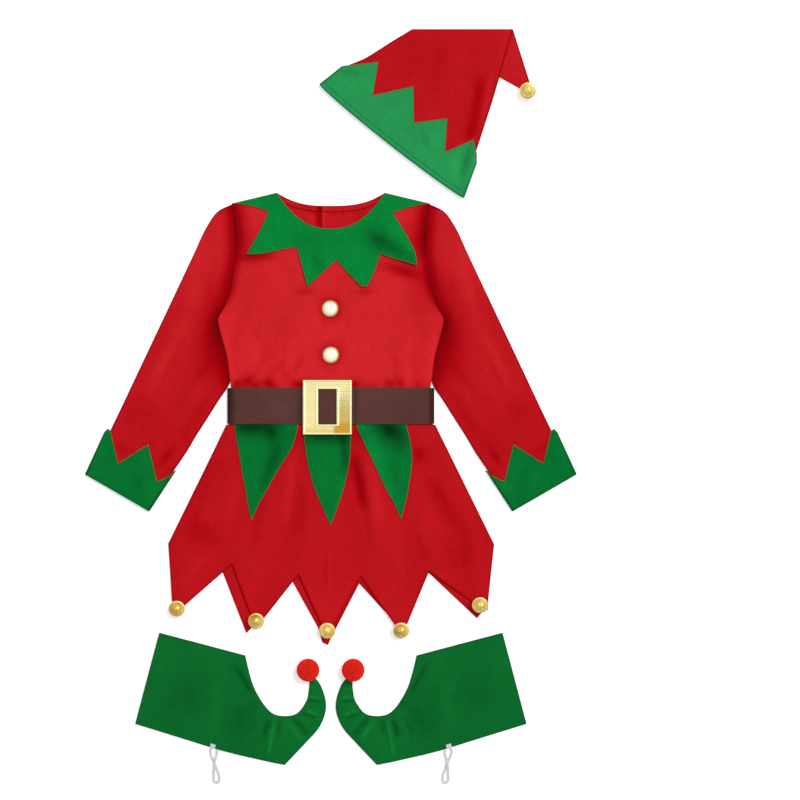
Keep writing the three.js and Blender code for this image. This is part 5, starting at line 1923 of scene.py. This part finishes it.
def pompom(name, node, side):
    """Short yarn fibres standing close together on a ball."""
    draw = np.random.default_rng(7 + int(side))
    p = POMPOM
    count = p["fibres"]
    k = np.arange(count) + 0.5
    high = 1 - 2 * k / count
    angle = math.pi * (1 + 5**0.5) * k
    flat = np.sqrt(1 - high**2)
    out = np.stack([flat * np.cos(angle), flat * np.sin(angle), high], -1)
    out += draw.normal(0, FIBRE_VARIES["way"], out.shape)
    out /= np.linalg.norm(out, axis=1)[:, None]
    lean = draw.normal(0, FIBRE_VARIES["lean"], out.shape)
    lean -= (lean * out).sum(1)[:, None] * out
    reach = p["radius"] - np.abs(draw.normal(0, FIBRE_VARIES["reach"], count))
    across = np.cross(out, lean)
    across /= np.linalg.norm(across, axis=1)[:, None]
    other = np.cross(out, across)
    rings = []
    for share, width in FIBRE_WIDTHS:
        line = out * mix(p["core"] - 1, reach, share)[:, None] + lean * p["radius"] * share**2 * 0.5
        far = np.maximum(np.linalg.norm(line, axis=1) / p["radius"], 1)
        line = line / far[:, None]
        for n in range(3):
            turn = 2 * math.pi * n / 3
            rings.append(line + width * (math.cos(turn) * across + math.sin(turn) * other))
    points = np.stack(rings, 1).reshape(-1, 3)
    start = np.arange(count)[:, None] * 9
    faces = []
    for level in (0, 3):
        for n in range(3):
            m = (n + 1) % 3
            faces.append(start + np.array([[level + n, level + m, level + 3 + m, level + 3 + n]]))
    faces = np.concatenate(faces)
    tips = start + np.array([[6, 7, 8]])
    centre = np.array([side * p["x"], p["y"], p["radius"] + p["clear"]])
    core = p["core"]
    ball, ball_faces = lathed([(0, -core), *arc_profile(core, -84, 84, 26), (0, core)], STEPS_ROUND["core"])
    all_points = np.concatenate([points, ball]) + centre
    all_faces = [tuple(f) for f in faces] + [tuple(f) for f in tips]
    all_faces += [tuple(f) for f in ball_faces + len(points)]
    shade = draw.uniform(1 - FIBRE_VARIES["tone"], 1 + FIBRE_VARIES["tone"], count)
    fibre_tone = np.tile(np.repeat(FIBRE_SHADING, 3), count) * np.repeat(shade, 9)
    tone = np.concatenate([fibre_tone, np.full(len(ball), CORE_SHADING)])
    piece = mesh_object(name, all_points, all_faces, YARN, {"tone": tone})
    place(piece, node, "red_wool")


ELASTIC_ROUTE = [
    (-179.6, -527.6, 1.5),
    (-180.6, -532.5, 1.4),
    (-179.4, -539, 1.3),
    (-176.6, -545, 1.3),
    (-174, -551, 1.3),
    (-171.4, -558, 1.3),
    (-168.8, -565, 1.3),
    (-167.2, -571, 1.3),
    (-167.4, -576, 1.3),
    (-170.6, -579.4, 1.3),
    (-174.2, -577.8, 1.3),
    (-175.8, -573, 1.3),
    (-175.6, -566, 1.9),
    (-175.2, -558, 3.2),
    (-174.2, -550, 4.1),
    (-172.4, -542, 3.4),
    (-170.6, -535.5, 2.2),
    (-171.3, -529.9, 1.5),
]
ELASTIC_WIDE, ELASTIC_THICK, ELASTIC_STEPS = 4.2, 0.9, 120


def elastic(name, node, side):
    """A flat elastic band along its route, with three shallow ribs."""
    route = np.array(ELASTIC_ROUTE) * (side, 1, 1)
    at = np.arange(len(route), dtype=float)
    fine = np.linspace(0, len(route) - 1, ELASTIC_STEPS)
    line = np.stack([curve(fine, at, route[:, k]) for k in range(3)], -1)
    along = np.gradient(line, axis=0)
    along /= np.linalg.norm(along, axis=1)[:, None]
    across = np.cross(along, (0, 0, 1.0))
    across /= np.linalg.norm(across, axis=1)[:, None]
    up = np.cross(across, along)
    s = np.linspace(-1, 1, 13)
    half = ELASTIC_THICK / 2 * np.sqrt(1 - 0.85 * s**8) + 0.06 * np.cos(3 * np.pi * s)
    upper = np.stack([s * ELASTIC_WIDE / 2, half], -1)
    section = np.concatenate([upper, (upper * (1, -1))[::-1]])
    points, faces = closed_bar(swept(line, across, up, section))
    piece = make(name, points, faces, ELASTIC)
    place(piece, node, "white_elastic")


# Stage, in metres
CAMERA_AT = (0.1035, -0.006, 3.33)
FLOOR_HALF, FLOOR_DOWN = 20.0, 0.0004


def area_light(name, at, aim, size, power):
    data = bpy.data.lights.new(name, "AREA")
    data.shape = "RECTANGLE"
    data.size, data.size_y = size
    data.energy = power
    lamp = add_object(name, data)
    lamp.location = at
    lamp.rotation_euler = (Vector(aim) - Vector(at)).to_track_quat("-Z", "Y").to_euler()


def stage():
    camera = add_object("camera", bpy.data.cameras.new("camera"))
    camera.location = CAMERA_AT
    camera.data.lens = 100
    camera.data.sensor_width = 36
    camera.data.clip_end = 30
    bpy.context.scene.camera = camera

    mesh = bpy.data.meshes.new("floor")
    corners = [(x * FLOOR_HALF, y * FLOOR_HALF, -FLOOR_DOWN) for x, y in ((-1, -1), (1, -1), (1, 1), (-1, 1))]
    mesh.from_pydata(corners, [], [(0, 1, 2, 3)])
    floor = add_object("floor", mesh)
    n = Nodes("floor_white")
    tint = n.ranged(n.noise(3, 2), 0.3, 0.7, 0.985, 1.0)
    mesh.materials.append(n.finish(
        Base_Color=n.shaded((0.9, 0.9, 0.9, 1), tint), Roughness=0.9, Specular_IOR_Level=0.1,
        Emission_Color=(1, 1, 1, 1), Emission_Strength=0.36,
    ))

    sun = bpy.data.lights.new("key", "SUN")
    sun.energy, sun.angle = 1.75, 0.4
    key = add_object("key", sun)
    key.rotation_euler = Vector((-0.36, -0.36, -0.86)).to_track_quat("-Z", "Y").to_euler()
    area_light("overhead", at=(0.1, 0, 3.6), aim=(0.1, 0, 0), size=(4, 4), power=50)
    world = bpy.data.worlds.new("world")
    bpy.context.scene.world = world
    world.use_nodes = True
    sky = world.node_tree.nodes["Background"].inputs
    sky["Color"].default_value = (0.95, 0.94, 1, 1)
    sky["Strength"].default_value = 0.3
    bpy.context.scene.view_settings.view_transform = "Standard"


stage()
for word, side in (("left", 1), ("right", -1)):
    elastic(f"band_{word}", f"elastic_{word}", side)

for word, side in (("left", -1), ("right", 1)):
    back = f"collar_back_{word}"
    collar(f"felt_{back}", back, COLLAR_BACK, back_neck, lambda x, y: 0 * x, ["floor"], side)
    bodice_back(side)
    neckband(side)
    sleeve(side)
    cuff = f"cuff_{word}"
    pointed_band(f"felt_{cuff}", cuff, "green_cloth", CUFF, CUFF_HEM, GREEN, side, CUFF_SHADING, PIECE_SHADE["cuff"])
bodice_front()
collar(
    "felt_collar_front", "collar_front", COLLAR_FRONT, front_neck, collar_lift, ["bodice_front"],
    tones=COLLAR_SHADING,
)

skirt("felt_skirt_back", "skirt_back", SKIRT_BACK, skirt_back_lift, ["floor"])
skirt(
    "felt_skirt_front", "skirt_front", SKIRT_FRONT, skirt_lift, ["skirt_back"], SKIRT_SHADING, SKIRT_STREAKS
)
for name, data in LEAVES.items():
    leaf(name, data)
belt()
buckle()
button("gold_button_upper", "button_upper", -1, BUTTONS_Y[0])
button("gold_button_lower", "button_lower", 0, BUTTONS_Y[1])
for node, row in BELLS.items():
    bell(node, *row)

pointed_band("felt_hat_brim", "hat_brim", "mint_cloth", BRIM, BRIM_HEM, MINT, 1, BRIM_SHADING)
hat_crown()

for word, side in (("left", 1), ("right", -1)):
    shoe_panel(f"felt_shoe_{word}_under", f"shoe_{word}_under", side, False)
    shoe_panel(f"felt_shoe_{word}_upper", f"shoe_{word}_upper", side, True)
    elastic_patch(f"band_patch_{word}", side)
    pompom(f"yarn_pompom_{word}", f"pompom_{word}", side)
